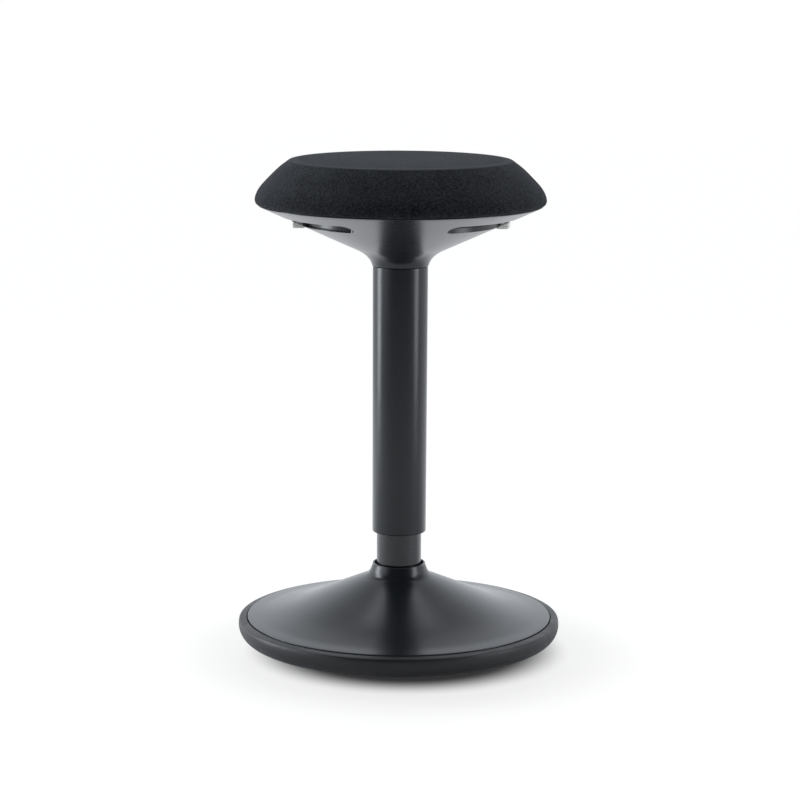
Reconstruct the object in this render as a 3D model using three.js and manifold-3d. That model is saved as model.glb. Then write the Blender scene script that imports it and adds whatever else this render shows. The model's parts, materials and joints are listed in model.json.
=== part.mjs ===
// Wobble stool: a weighted rocking base, a gas spring column with a telescoping sleeve,
// and a round upholstered seat whose slotted under shell carries two linked release levers.
// Millimetres, +Z up, origin on the floor under the middle of the base, front towards -Y.

import * as THREE from 'three';
import { mergeVertices } from 'three/addons/utils/BufferGeometryUtils.js';
import Module from 'manifold-3d';

const wasm = await Module();
wasm.setup();

// Gaps shared by all pieces
const FIT = 0.3; // between two pieces that seat on each other
const RUNNING = 0.4; // between two pieces that slide or turn
const OVERRUN = 2; // how far a cut runs past the face it opens
const WELD = 1e-4; // points closer than this are one point

// Facet counts
const WIDE_SIDES = 40; // shells, cover and sole
const PAN_SIDES = 20; // pan and counterweight, which nothing shows
const SEAT_SIDES = 36; // foam, cloth and board
const TUBE_SIDES = 24; // sleeve and outer tube
const ROUND_SIDES = 16; // inner column pieces
const BALL_SIDES = 6;
const BALL_BANDS = 4;
const SMALL_SIDES = 8; // pins, shanks and bosses
const HEX_SIDES = 6;
const ARC_STEPS = 10; // along an arc of an extruded outline

// Rubber sole: a rocker with a small flat foot, rising into the ring around the base
const FOOT_RADIUS = 45;
const ROCKER_RADIUS = 510;
const ROCKER_EDGE_OUTSET = 2; // edge of the rocker outside the pan
const ROCKER_STEPS = 5;
const RING_WIDTH = 10; // ring outside the cover
const RING_WIDEST_DROP = 8.5; // widest point below the seam with the cover
const RING_RIDGE_INSET = 2.6;
const RING_RIDGE_DROP = 2.5;
const RING_ROLL_STEPS = 4;
const SOLE_WALL = 5; // least rubber under the pan

// Steel pan: a flat middle, a cone and a flat shoulder with a turned-up rim
const PAN_RADIUS = 164;
const PAN_WALL = 3;
const PAN_FLAT_RADIUS = 95;
const PAN_SHOULDER_WIDTH = 21;

// Plastic base cover with its collar around the column
const COVER_OVERHANG = 6.6; // cover outside the pan
const COVER_WALL = 3;
const COVER_LIP = 5.7; // depth of the edge that sits in the ring
const SEAM_GAP = 1; // open groove between cover and ring
const SEAM_RISE = 20.6; // seam above the pan shoulder
const COVER_RISE = 48.2; // collar foot above the seam
const COLLAR_GAP = 2.6; // around the tube
const COLLAR_WALL = 1.8;
const COLLAR_FLARE = 5.4; // foot of the collar outside its rim
const COLLAR_HEIGHT = 12.4;
const COLLAR_ROUND = 1.2;
// Outer curve from the collar foot to the rim: share of the width, share of the rise
const COVER_CURVE_SHARES = [[0, 1], [0.024, 0.958], [0.068, 0.905], [0.333, 0.581], [0.627, 0.234],
  [0.848, 0.062], [1, 0]];

// Cover screws and the bosses that take them
const COVER_SCREWS = 6;
const BOSS_INSET = 12; // boss circle inside the pan radius
const BOSS_RADIUS = 6;
const COVER_SCREW_SHANK = 2;
const COVER_SCREW_HEAD = 4.5;
const COVER_SCREW_HEAD_HEIGHT = 2.4;
const COVER_SCREW_GRIP = 13; // thread length in the boss

// Cast iron counterweight
const WEIGHT_GAP = 4; // around the socket flange
const WEIGHT_THICKNESS = 15;
const WEIGHT_BOLTS = 3;
const WEIGHT_BOLT_INSET = 12; // bolt circle outside the bore
const WEIGHT_COUNTERBORE = 6;

// Column socket: a tapered steel bush on a bolted flange
const SOCKET_WALL = 5.5; // around the tube
const SOCKET_FLANGE_INSET = 29; // flange inside the flat of the pan
const SOCKET_FLANGE = 6;
const SOCKET_SINK = 18; // top of the socket below the collar rim
const SOCKET_BOLTS = 4;

// Hexagon bolts of the base
const BASE_BOLT_SHANK = 4;
const BASE_BOLT_HEAD = 7.2;
const BASE_BOLT_HEAD_HEIGHT = 5.3;

// Outer tube of the gas spring
const TUBE_RADIUS = 25;
const TUBE_WALL = 2;
const TUBE_END_WALL = 3;
const TUBE_TAPER_LENGTH = 60;
const TUBE_TAPER = 1.2; // radius lost over the taper
const CLIP_ROOM = 12.7; // tube foot above the pan
const BARE_TUBE = 36.4; // tube that shows between collar and sleeve
const STROKE = 200; // height travel of the seat
const TUBE_OVERLAP = 51; // tube still in the sleeve at full height

// Guide bushing in the mouth of the tube
const GUIDE_LENGTH = 85;
const GUIDE_FLANGE = 2.7;

// Thrust bearing under the rod
const RACE_RADIUS = 16;
const RACE_THICKNESS = 2;
const RACE_GAP = 0.6; // around the rod's stub
const BALL_RADIUS = 2;
const BALL_CIRCLE = 10.8;
const BALL_COUNT = 8;
const CAGE_THICKNESS = 1.6;
const CAGE_MARGIN = 3.6; // cage band either side of the ball circle

// Piston rod, its clip and its buffer
const ROD_RADIUS = 5;
const STUB_STEP = 0.4; // end of the rod through the bearing is thinner by this
const STUB_END = 3; // stub below the clip
const CLIP_THICKNESS = 1.7;
const CLIP_GROOVE = 1.2; // depth of the groove in the stub
const CLIP_WIDTH = 4.4;
const CLIP_MOUTH = 6; // opening of the clip
const WASHER_THICKNESS = 1.5;
const WASHER_RADIUS = 12;
const BUFFER_ROOM = 5; // between buffer and tube
const BUFFER_HEIGHT = 19;
const ROD_HEAD_LIP = 2; // head of the rod outside the rod
const ROD_HEAD = 2;

// Piston and pressure cylinder
const PISTON_HEIGHT = 14;
const PISTON_MARGIN = 5; // piston above the seal at full height
const PISTON_GROOVE = 1.4;
const CYLINDER_SHARE = 0.56; // radius for the tube's: a 28 mm cylinder goes with a 50 mm tube
const CYLINDER_WALL = 1.6;
const CYLINDER_NECK = 92; // cylinder above the outer tube at rest
const CYLINDER_HEAD = 36; // solid valve head at the top
const CYLINDER_TAPER = 0.8; // radius lost over the seat taper
const SEAL_INSET = 1;
const SEAL_HEIGHT = 16;
const SEAL_LIP = 3;
const VALVE_RADIUS = 3.1;
const VALVE_RISE = 6; // button above the cylinder
const VALVE_DISC_RADIUS = 6;
const VALVE_DISC = 3;

// Telescoping sleeve and the ring that glides on the tube
const SLEEVE_ROOM = 2.8; // between tube and sleeve
const SLEEVE_WALL = 2.2;
const SLEEVE_FLARE = 0.5; // wider at the top than at the foot
const SLEEVE_LIP = 1.8;
const SLEEVE_LIP_GAP = 1.3; // between tube and lip
const SLEEVE_CHAMFER = 1;
const SPIGOT_STEP = 1.5; // spigot inside the sleeve's outside
const SPIGOT_WALL = 2;
const SPIGOT_LENGTH = 10;
const SPIGOT_BEAD = 0.5; // snap bead around the spigot
const SPIGOT_BEAD_WIDTH = 2;
const SPIGOT_BEAD_DROP = 4; // bead below the end of the spigot
const GLIDE_HEIGHT = 8;

// Under shell of the seat: a cone with a filleted neck
const BOARD_ABOVE_CYLINDER = 26.6;
const SHELL_RADIUS = 157;
const SHELL_WALL = 3;
const SHELL_SLOPE_SHARE = 0.4536; // rise of the cone for its run
const SHELL_EDGE = 0.9; // edge of the rim
const NECK_LIP = 1.2; // neck outside the sleeve
const NECK_DROP = 18.5; // neck end below the foot of the cone
const NECK_FILLET_WIDTH = 18.8; // from the neck to where the cone starts
const NECK_FILLET_STEPS = 5;
const NECK_PULL = 2.3; // how far the fillet's corner stands outside the neck
const NECK_PULL_DROP = 7.5; // and below the foot of the cone

// Grip slots, one each side, and the pocket behind each
const SLOT_INSET = 25.5; // slot inside the rim
const SLOT_WIDTH = 20.5;
const SLOT_HALF_ANGLE = THREE.MathUtils.degToRad(65.2);
const LEDGE_EDGE = 0.6; // skin left where the pocket's level ledge meets the slot
const POCKET_DEPTH = 5.5; // face of the pocket's wall behind the slot
const POCKET_WALL = 2.5;
const POCKET_HALF_ANGLE = THREE.MathUtils.degToRad(70);
const SHELF_STEP = 4.5; // the shelf is lower further than this outside the slot
const SHELL_SCREW_ANGLE = THREE.MathUtils.degToRad(42);
const SHELL_SCREW_SHANK = 2;
const SHELL_SCREW_HEAD = 4.2;
const SHELL_SCREW_HEAD_HEIGHT = 2.6;
const SHELL_SCREW_GRIP = 9;
const SHELL_RIB_WIDTH = 2.2;
const SHELL_RIB_INNER = 62;
const SHELL_RIB_INSET = 29; // outer end inside the rim
const SHELL_RIB_RISE = 9;
const SHELL_RIB_ANGLES = [-14, 0, 14].map(THREE.MathUtils.degToRad);

// Release levers
const PIVOT_OFFSET = 28; // pin from the middle
const PIVOT_ABOVE_CYLINDER = 10;
const PIN_RADIUS = 3;
const HUB_WALL = 2.6;
const LEVER_ARM_HALF_WIDTH = 15;
const LEVER_PLATE = 3;
const LEVER_RIB = 2.5;
const LEVER_RIB_RISE = 4;
const PADDLE_INSET = 11; // face of the paddle inside the slot's outer edge
const PADDLE_DEPTH = 15.5;
const PADDLE_HALF_WIDTH = 26;
const PADDLE_PROUD = 0.6; // sloping top of the paddle above the line of the cone
const PADDLE_ROUND = 2.2;
const PADDLE_GAP = 1.5; // around the paddle in the shell
const LIP_ABOVE_PIVOT = 3; // lip that joins the paddle to its arm
const LIP_THICKNESS = 3;
const TONGUE_REACH = 2.5; // past the middle
const TONGUE_HALF_WIDTH = 4.8;
const TONGUE_THICKNESS = 3;
const LINK_GAP = 0.8; // above and below the tongue in its loop
const LINK_BAR = 2;
const LINK_CHEEK = 3;
const LINK_DEPTH = 6; // loop past the middle
const NUB_HALF_LENGTH = 1.5;
const NUB_HEIGHT = 1;

// Mechanism bracket: a channel with a bolted flange and a taper bush
const BRACKET_WALL = 3;
const BRACKET_END = 4; // channel past the hubs
const BRACKET_SHELL_GAP = 7; // under the channel
const BRACKET_HUB_GAP = 0.5; // between hub and cheek
const HUB_HALF_LENGTH = 20.5;
const FLANGE_REACH = 18; // flange past the channel's ends
const FLANGE_SIDE = 24; // and past its cheeks
const BUSH_WALL = 5;
const BUSH_LENGTH = 34;
const BUSH_SINK = 4; // top of the bush below the top of the cylinder
const PIN_HEAD_LIP = 1.6; // head outside the pin
const PIN_HEAD = 1.6;
const PIN_END = 3; // pin past the cheek on the clip side
const PIN_CLIP_WIDTH = 2.4;
const PIN_CLIP = 1;

// Seat board, its nuts and the bracket bolts
const BOARD_INSET = 7; // board inside the shell's rim
const BOARD_THICKNESS = 12;
const BOLT_EDGE_INSET = 10; // bolt from the edges of the flange
const SEAT_BOLT_SHANK = 3;
const SEAT_BOLT_HEAD = 5.4;
const SEAT_BOLT_HEAD_HEIGHT = 4;
const NUT_BARREL = 4.2;
const NUT_FLANGE_RADIUS = 9.5;
const NUT_FLANGE = 1.2;
const NUT_DEPTH = 10;

// Upholstery
const CLOTH = 1.1;
const CUSHION_OVERHANG = 3.6; // cushion outside the shell's rim
const CUSHION_HEIGHT = 49.8;
const HEM_TURN = 12; // hem turned in under the board
// Section of the cushion from the middle of the crown to the hem: share of radius, share of height
const CUSHION_SHARES = [[0, 1], [0.56, 0.988], [0.716, 0.968], [0.772, 0.936], [0.809, 0.871],
  [0.834, 0.823], [0.903, 0.598], [0.965, 0.367], [0.987, 0.257], [0.999, 0.137], [1, 0.086]];
const HEM_TURN_SHARES = [[0.993, 0.026], [0.985, 0]];

// Radii and widths worked out from the sizes above
const coverRadius = PAN_RADIUS + COVER_OVERHANG;
const ringRadius = coverRadius + RING_WIDTH;
const rockerEdge = PAN_RADIUS + ROCKER_EDGE_OUTSET;
const collarBore = TUBE_RADIUS + COLLAR_GAP;
const collarRadius = collarBore + COLLAR_WALL;
const collarFootRadius = collarRadius + COLLAR_FLARE;
const socketRadius = TUBE_RADIUS + SOCKET_WALL;
const flangeRadius = PAN_FLAT_RADIUS - SOCKET_FLANGE_INSET;
const weightBore = flangeRadius + WEIGHT_GAP;
const tubeBore = TUBE_RADIUS - TUBE_WALL;
const cylinderRadius = TUBE_RADIUS * CYLINDER_SHARE;
const guideBore = cylinderRadius + RUNNING;
const cylinderBore = cylinderRadius - CYLINDER_WALL;
const bufferRadius = tubeBore - BUFFER_ROOM;
const stubRadius = ROD_RADIUS - STUB_STEP;
const raceBore = stubRadius + RACE_GAP;
const sleeveBore = TUBE_RADIUS + SLEEVE_ROOM;
const sleeveRadius = sleeveBore + SLEEVE_WALL;
const spigotRadius = sleeveRadius - SPIGOT_STEP;
const spigotBore = spigotRadius - SPIGOT_WALL;
const neckRadius = sleeveRadius + NECK_LIP;
const coneFootRadius = neckRadius + NECK_FILLET_WIDTH;
const slotOuter = SHELL_RADIUS - SLOT_INSET;
const slotInner = slotOuter - SLOT_WIDTH;
const pocketRadius = slotInner - POCKET_DEPTH;
const paddleOuter = slotOuter - PADDLE_INSET;
const paddleInner = paddleOuter - PADDLE_DEPTH;
const shellRibOuter = SHELL_RADIUS - SHELL_RIB_INSET;
const hubRadius = PIN_RADIUS + RUNNING + HUB_WALL;
const boardRadius = SHELL_RADIUS - BOARD_INSET;
const cushionRadius = SHELL_RADIUS + CUSHION_OVERHANG;

// Levels worked out from the sizes above
const soleFloor = rockerHeight(PAN_FLAT_RADIUS) + SOLE_WALL;
const soleShoulder = rockerHeight(PAN_RADIUS) + SOLE_WALL;
const seamLevel = soleShoulder + SEAM_RISE;
const ledgeLevel = seamLevel - COVER_LIP - FIT;
const panFloor = soleFloor + FIT;
const panTop = panFloor + PAN_WALL;
const panShoulder = soleShoulder + FIT;
const panShoulderTop = panShoulder + PAN_WALL;
const shoulderInner = PAN_RADIUS - PAN_SHOULDER_WIDTH;
const collarFoot = seamLevel + COVER_RISE;
const collarTop = collarFoot + COLLAR_HEIGHT;
const bossCircle = PAN_RADIUS - BOSS_INSET;
const bossBottom = panShoulderTop + FIT;
const socketBottom = panTop + FIT;
const socketTop = collarTop - SOCKET_SINK;
const tubeFoot = panTop + CLIP_ROOM;
const tubeFloor = tubeFoot + TUBE_END_WALL;
const sleeveFoot = collarTop + BARE_TUBE;
const tubeTop = sleeveFoot + STROKE + TUBE_OVERLAP;
const lowerRace = tubeFloor + FIT;
const ballLevel = lowerRace + RACE_THICKNESS + FIT + BALL_RADIUS;
const upperRace = ballLevel + BALL_RADIUS + FIT;
const rodShoulder = upperRace + RACE_THICKNESS + FIT;
const cylinderFoot = rodShoulder + BUFFER_HEIGHT + FIT;
const cylinderTop = tubeTop + CYLINDER_NECK;
const pistonFoot = cylinderFoot + SEAL_INSET + SEAL_HEIGHT + STROKE + PISTON_MARGIN;
const boardBottom = cylinderTop + BOARD_ABOVE_CYLINDER;
const boardTop = boardBottom + BOARD_THICKNESS;
const hemTop = boardBottom - FIT;
const hemBottom = hemTop - CLOTH;
const rimTop = hemBottom - FIT;
const rimEdge = rimTop - SHELL_EDGE;
const shelfTop = boardBottom - FIT;
const shelfBottom = shelfTop - SHELL_WALL;
const coneFoot = coneHeight(coneFootRadius);
const neckEnd = coneFoot - NECK_DROP;
const shellRise = SHELL_WALL * Math.hypot(1, SHELL_SLOPE_SHARE); // wall measured upright
const pivotLevel = cylinderTop + PIVOT_ABOVE_CYLINDER;
const lipTop = pivotLevel + LIP_ABOVE_PIVOT;
const paddleBottom = coneHeight(paddleInner);
const valveTop = cylinderTop + VALVE_RISE;
const nubBottom = valveTop + FIT;
const linkBottom = nubBottom + NUB_HEIGHT;
const loopFloor = linkBottom + LINK_BAR;
const tongueBottom = loopFloor + LINK_GAP;
const loopRoof = tongueBottom + TONGUE_THICKNESS + LINK_GAP;
const linkTop = loopRoof + LINK_BAR;
const linkHalfWidth = TONGUE_HALF_WIDTH + RUNNING + LINK_CHEEK;
const cheekInner = HUB_HALF_LENGTH + BRACKET_HUB_GAP;
const cheekOuter = cheekInner + BRACKET_WALL;
const bracketHalfLength = PIVOT_OFFSET + hubRadius + BRACKET_END;
const flangeHalfLength = bracketHalfLength + FLANGE_REACH;
const flangeHalfWidth = cheekOuter + FLANGE_SIDE;
const flangeTop = shelfTop;
const flangeBottom = flangeTop - BRACKET_WALL;
const bracketFloor = coneHeight(Math.hypot(bracketHalfLength, cheekOuter)) + shellRise + BRACKET_SHELL_GAP;
const bushTop = cylinderTop - BUSH_SINK;
const bushFoot = bushTop - BUSH_LENGTH;
const boltX = flangeHalfLength - BOLT_EDGE_INSET;
const boltY = flangeHalfWidth - BOLT_EDGE_INSET;

// Height of the rocker's underside at a radius
function rockerHeight(radius) {
  return radius <= FOOT_RADIUS ? 0 : (radius ** 2 - FOOT_RADIUS ** 2) / (2 * ROCKER_RADIUS);
}

// Height of the outer face of the seat cone at a radius
function coneHeight(radius) {
  return rimEdge - (SHELL_RADIUS - radius) * SHELL_SLOPE_SHARE;
}

// Closed solid from any closed geometry
function solidFrom(geometry) {
  const bare = geometry.clone();
  bare.deleteAttribute('normal');
  bare.deleteAttribute('uv');
  const merged = mergeVertices(bare, WELD);
  const vertProperties = new Float32Array(merged.getAttribute('position').array);
  const corners = merged.index.array;
  const kept = [];
  for (let i = 0; i < corners.length; i += 3) {
    const [a, b, c] = [corners[i], corners[i + 1], corners[i + 2]];
    if (a !== b && b !== c && c !== a) kept.push(a, b, c);
  }
  if (signedVolume(vertProperties, kept) < 0) kept.reverse();
  const mesh = new wasm.Mesh({ numProp: 3, vertProperties, triVerts: new Uint32Array(kept) });
  return new wasm.Manifold(mesh);
}

// Volume of a triangle mesh, negative when its faces point in
function signedVolume(points, corners) {
  const [a, b, c] = [new THREE.Vector3(), new THREE.Vector3(), new THREE.Vector3()];
  let total = 0;
  for (let i = 0; i < corners.length; i += 3) {
    a.fromArray(points, 3 * corners[i]);
    b.fromArray(points, 3 * corners[i + 1]);
    c.fromArray(points, 3 * corners[i + 2]);
    total += a.dot(b.cross(c)) / 6;
  }
  return total;
}

// Geometry of a solid
function geometryFrom(solid) {
  const mesh = solid.getMesh();
  const geometry = new THREE.BufferGeometry();
  geometry.setAttribute('position', new THREE.BufferAttribute(new Float32Array(mesh.vertProperties), 3));
  geometry.setIndex(new THREE.BufferAttribute(new Uint32Array(mesh.triVerts), 1));
  geometry.computeVertexNormals();
  return geometry;
}

function join(first, ...others) {
  return geometryFrom(others.reduce((solid, next) => solid.add(solidFrom(next)), solidFrom(first)));
}

function cut(first, ...others) {
  return geometryFrom(others.reduce((solid, next) => solid.subtract(solidFrom(next)), solidFrom(first)));
}

function common(first, second) {
  return geometryFrom(solidFrom(first).intersect(solidFrom(second)));
}

// Turned piece around Z from points of radius and height; a ring profile closes on itself
function turned(profile, sides) {
  const points = profile.map(([radius, height]) => new THREE.Vector2(radius, height));
  const onAxis = points[0].x === 0 && points[points.length - 1].x === 0;
  if (!onAxis) points.push(points[0].clone());
  const geometry = new THREE.LatheGeometry(points, sides);
  geometry.rotateX(Math.PI / 2);
  return geometryFrom(solidFrom(geometry));
}

function rod(radius, bottom, top, sides, x = 0, y = 0) {
  const geometry = turned([[0, bottom], [radius, bottom], [radius, top], [0, top]], sides);
  return geometry.translate(x, y, 0);
}

function ring(inner, outer, bottom, top, sides) {
  return turned([[inner, bottom], [outer, bottom], [outer, top], [inner, top]], sides);
}

function block(xLow, xHigh, yLow, yHigh, zLow, zHigh) {
  const geometry = new THREE.BoxGeometry(xHigh - xLow, yHigh - yLow, zHigh - zLow);
  return geometry.translate((xLow + xHigh) / 2, (yLow + yHigh) / 2, (zLow + zHigh) / 2);
}

// Upright prism over an outline in X and Y
function upright(shape, bottom, top) {
  const settings = { depth: top - bottom, bevelEnabled: false, curveSegments: ARC_STEPS };
  return new THREE.ExtrudeGeometry(shape, settings).translate(0, 0, bottom);
}

// Prism along Y over an outline in X and Z, centred on Y
function across(points, halfWidth) {
  const shape = new THREE.Shape(points.map(([x, z]) => new THREE.Vector2(x, z)));
  const geometry = new THREE.ExtrudeGeometry(shape, { depth: 2 * halfWidth, bevelEnabled: false });
  return geometry.rotateX(Math.PI / 2).translate(0, halfWidth, 0);
}

// Round bar along Y through a point in X and Z
function crossBar(radius, x, z, yLow, yHigh, sides) {
  const geometry = rod(radius, yLow, yHigh, sides);
  return geometry.rotateX(-Math.PI / 2).translate(x, 0, z);
}

// Centres of a bolt circle, the first one turned from +X by the phase
function circleOf(count, radius, phase) {
  return Array.from({ length: count }, (_, i) => {
    const angle = phase + (2 * Math.PI * i) / count;
    return [radius * Math.cos(angle), radius * Math.sin(angle)];
  });
}

function headedBolt(x, y, shank, shankLow, shankHigh, head, headLow, headHigh, headSides) {
  const stem = rod(shank, Math.min(shankLow, headLow), Math.max(shankHigh, headHigh), SMALL_SIDES, x, y);
  return join(stem, rod(head, headLow, headHigh, headSides, x, y));
}

const coverScrewCentres = circleOf(COVER_SCREWS, bossCircle, Math.PI / COVER_SCREWS);
const socketBoltCentres = circleOf(SOCKET_BOLTS, (socketRadius + flangeRadius) / 2, 0);
const weightBoltCentres = circleOf(WEIGHT_BOLTS, weightBore + WEIGHT_BOLT_INSET, Math.PI / WEIGHT_BOLTS);
const seatBoltCentres = [[boltX, boltY], [-boltX, boltY], [-boltX, -boltY], [boltX, -boltY]];
const shellScrewCentres = [1, -1].flatMap((side) => [1, -1].map((end) => {
  const radius = (slotInner + slotOuter) / 2;
  return [side * radius * Math.cos(SHELL_SCREW_ANGLE), end * radius * Math.sin(SHELL_SCREW_ANGLE)];
}));

const stool = new THREE.Group();

function addPiece(name, geometry, colour, roughness, metalness) {
  const material = new THREE.MeshStandardMaterial({ color: colour, roughness, metalness });
  const mesh = new THREE.Mesh(geometry, material);
  mesh.name = name;
  stool.add(mesh);
}

// Base

function rubberSole() {
  const widest = seamLevel - RING_WIDEST_DROP;
  const edge = rockerHeight(rockerEdge);
  const profile = [[0, 0], [FOOT_RADIUS, 0]];
  for (let i = 1; i <= ROCKER_STEPS; i += 1) {
    const radius = FOOT_RADIUS + ((rockerEdge - FOOT_RADIUS) * i) / ROCKER_STEPS;
    profile.push([radius, rockerHeight(radius)]);
  }
  for (let i = 1; i <= RING_ROLL_STEPS; i += 1) {
    const turn = (Math.PI / 2) * (i / RING_ROLL_STEPS);
    const radius = rockerEdge + (ringRadius - rockerEdge) * Math.sin(turn);
    profile.push([radius, widest - (widest - edge) * Math.cos(turn)]);
  }
  const ridge = seamLevel - RING_RIDGE_DROP;
  const well = PAN_RADIUS + FIT;
  profile.push([ringRadius - RING_RIDGE_INSET * (1 - Math.SQRT1_2),
    widest + (ridge - widest) * Math.SQRT1_2]);
  profile.push([ringRadius - RING_RIDGE_INSET, ridge]);
  profile.push([coverRadius + SEAM_GAP, seamLevel], [coverRadius + SEAM_GAP, ledgeLevel]);
  profile.push([well, ledgeLevel], [well, soleShoulder], [shoulderInner, soleShoulder]);
  profile.push([PAN_FLAT_RADIUS, soleFloor], [0, soleFloor]);
  const pockets = coverScrewCentres.map(([x, y]) => rod(COVER_SCREW_HEAD + FIT,
    panShoulder - COVER_SCREW_HEAD_HEIGHT - 2 * FIT, soleShoulder + OVERRUN, SMALL_SIDES, x, y));
  return cut(turned(profile, WIDE_SIDES), ...pockets);
}

function basePan() {
  const profile = [[0, panFloor], [PAN_FLAT_RADIUS, panFloor], [shoulderInner, panShoulder],
    [PAN_RADIUS, panShoulder], [PAN_RADIUS, ledgeLevel], [PAN_RADIUS - PAN_WALL, ledgeLevel],
    [PAN_RADIUS - PAN_WALL, panShoulderTop], [shoulderInner, panShoulderTop],
    [PAN_FLAT_RADIUS, panTop], [0, panTop]];
  const holes = coverScrewCentres.map(([x, y]) => rod(COVER_SCREW_SHANK + FIT, panShoulder - OVERRUN,
    panShoulderTop + OVERRUN, SMALL_SIDES, x, y));
  const taps = [...socketBoltCentres, ...weightBoltCentres].map(([x, y]) => rod(BASE_BOLT_SHANK + FIT,
    panFloor - OVERRUN, panTop + OVERRUN, SMALL_SIDES, x, y));
  return cut(turned(profile, PAN_SIDES), ...holes, ...taps);
}

function counterweight() {
  const outer = shoulderInner - FIT;
  const flat = PAN_FLAT_RADIUS - FIT;
  const bottom = panTop + FIT;
  const outerBottom = panShoulderTop + FIT;
  const profile = [[weightBore, bottom], [flat, bottom], [outer, outerBottom],
    [outer, outerBottom + WEIGHT_THICKNESS], [flat, bottom + WEIGHT_THICKNESS],
    [weightBore, bottom + WEIGHT_THICKNESS]];
  const top = bottom + WEIGHT_THICKNESS;
  const cuts = weightBoltCentres.flatMap(([x, y]) => [
    rod(BASE_BOLT_SHANK + FIT, bottom - OVERRUN, top + OVERRUN, SMALL_SIDES, x, y),
    rod(BASE_BOLT_HEAD + FIT, top - WEIGHT_COUNTERBORE, top + OVERRUN, ROUND_SIDES, x, y)]);
  return cut(turned(profile, PAN_SIDES), ...cuts);
}

// Points of the outer tube's outside from its foot up to its taper, wider by the gap
function tubeTaper(gap) {
  return [[TUBE_RADIUS - TUBE_TAPER + gap, tubeFoot], [TUBE_RADIUS + gap, tubeFoot + TUBE_TAPER_LENGTH]];
}

function columnSocket() {
  const bore = tubeTaper(FIT);
  const profile = [[bore[0][0], socketBottom], [flangeRadius, socketBottom],
    [flangeRadius, socketBottom + SOCKET_FLANGE], [socketRadius, socketBottom + SOCKET_FLANGE],
    [socketRadius, socketTop], [bore[1][0], socketTop], bore[1], bore[0]];
  const holes = socketBoltCentres.map(([x, y]) => rod(BASE_BOLT_SHANK + FIT, socketBottom - OVERRUN,
    socketBottom + SOCKET_FLANGE + OVERRUN, SMALL_SIDES, x, y));
  return cut(turned(profile, TUBE_SIDES), ...holes);
}

function baseBolt(x, y, seat) {
  return headedBolt(x, y, BASE_BOLT_SHANK, panFloor, seat, BASE_BOLT_HEAD, seat + FIT,
    seat + FIT + BASE_BOLT_HEAD_HEIGHT, HEX_SIDES);
}

// Outside of the cover from collar foot to rim, lowered by the drop
function coverCurve(drop) {
  const width = coverRadius - collarFootRadius;
  return COVER_CURVE_SHARES.map(([outward, up]) => [collarFootRadius + width * outward,
    seamLevel + COVER_RISE * up - drop]);
}

function coverHeight(radius) {
  const curve = coverCurve(0);
  const next = curve.findIndex(([r]) => r >= radius);
  const [[r0, z0], [r1, z1]] = [curve[next - 1], curve[next]];
  return z0 + ((z1 - z0) * (radius - r0)) / (r1 - r0);
}

function baseCover() {
  const outside = coverCurve(0);
  const lipInner = coverRadius - COVER_WALL;
  const inside = coverCurve(COVER_WALL)
    .filter(([radius]) => radius < lipInner && radius > collarFootRadius);
  const profile = [[collarBore, collarTop - COLLAR_ROUND],
    [(collarBore + collarRadius) / 2, collarTop], [collarRadius, collarTop - COLLAR_ROUND / 2],
    [(collarRadius + collarFootRadius) / 2, collarFoot + COLLAR_HEIGHT / 3], ...outside,
    [coverRadius, ledgeLevel + FIT], [lipInner, ledgeLevel + FIT],
    [lipInner, coverHeight(lipInner) - COVER_WALL], ...inside.reverse(),
    [collarFootRadius - COLLAR_ROUND, collarFoot - COVER_WALL], [collarBore, collarFoot]];
  const roof = coverHeight(bossCircle + BOSS_RADIUS) - COVER_WALL / 2;
  const bosses = coverScrewCentres.map(([x, y]) => rod(BOSS_RADIUS, bossBottom, roof, SMALL_SIDES, x, y));
  const pilots = coverScrewCentres.map(([x, y]) => rod(COVER_SCREW_SHANK + FIT, bossBottom - OVERRUN,
    bossBottom + COVER_SCREW_GRIP + FIT, SMALL_SIDES, x, y));
  return cut(join(turned(profile, WIDE_SIDES), ...bosses), ...pilots);
}

function coverScrew(x, y) {
  const headTop = panShoulder - FIT;
  return headedBolt(x, y, COVER_SCREW_SHANK, headTop, bossBottom + COVER_SCREW_GRIP, COVER_SCREW_HEAD,
    headTop - COVER_SCREW_HEAD_HEIGHT, headTop, SMALL_SIDES);
}

// Column

function outerTube() {
  const hole = stubRadius + RUNNING;
  const [foot, taperTop] = tubeTaper(0);
  const profile = [[hole, tubeFoot], foot, taperTop, [TUBE_RADIUS, tubeTop], [tubeBore, tubeTop],
    [tubeBore, taperTop[1]], [tubeBore - TUBE_TAPER, tubeFloor], [hole, tubeFloor]];
  return turned(profile, TUBE_SIDES);
}

function guideBushing() {
  const outer = tubeBore - FIT;
  const flange = tubeTop + FIT;
  return turned([[guideBore, tubeTop - GUIDE_LENGTH], [outer, tubeTop - GUIDE_LENGTH], [outer, flange],
    [TUBE_RADIUS, flange], [TUBE_RADIUS, flange + GUIDE_FLANGE], [guideBore, flange + GUIDE_FLANGE]],
    ROUND_SIDES);
}

function bearingRace(bottom) {
  return ring(raceBore, RACE_RADIUS, bottom, bottom + RACE_THICKNESS, ROUND_SIDES);
}

// Flat cage with its balls, which turn together between the races
function bearingCage() {
  const band = ring(BALL_CIRCLE - CAGE_MARGIN, BALL_CIRCLE + CAGE_MARGIN, ballLevel - CAGE_THICKNESS / 2,
    ballLevel + CAGE_THICKNESS / 2, ROUND_SIDES);
  const balls = circleOf(BALL_COUNT, BALL_CIRCLE, 0).map(([x, y]) => new THREE.SphereGeometry(BALL_RADIUS,
    BALL_SIDES, BALL_BANDS).rotateX(Math.PI / 2).translate(x, y, ballLevel));
  return join(band, ...balls);
}

const washerTop = tubeFoot - FIT;
const clipTop = washerTop - WASHER_THICKNESS - FIT;
const clipBottom = clipTop - CLIP_THICKNESS;
const grooveRadius = stubRadius - CLIP_GROOVE;

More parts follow.
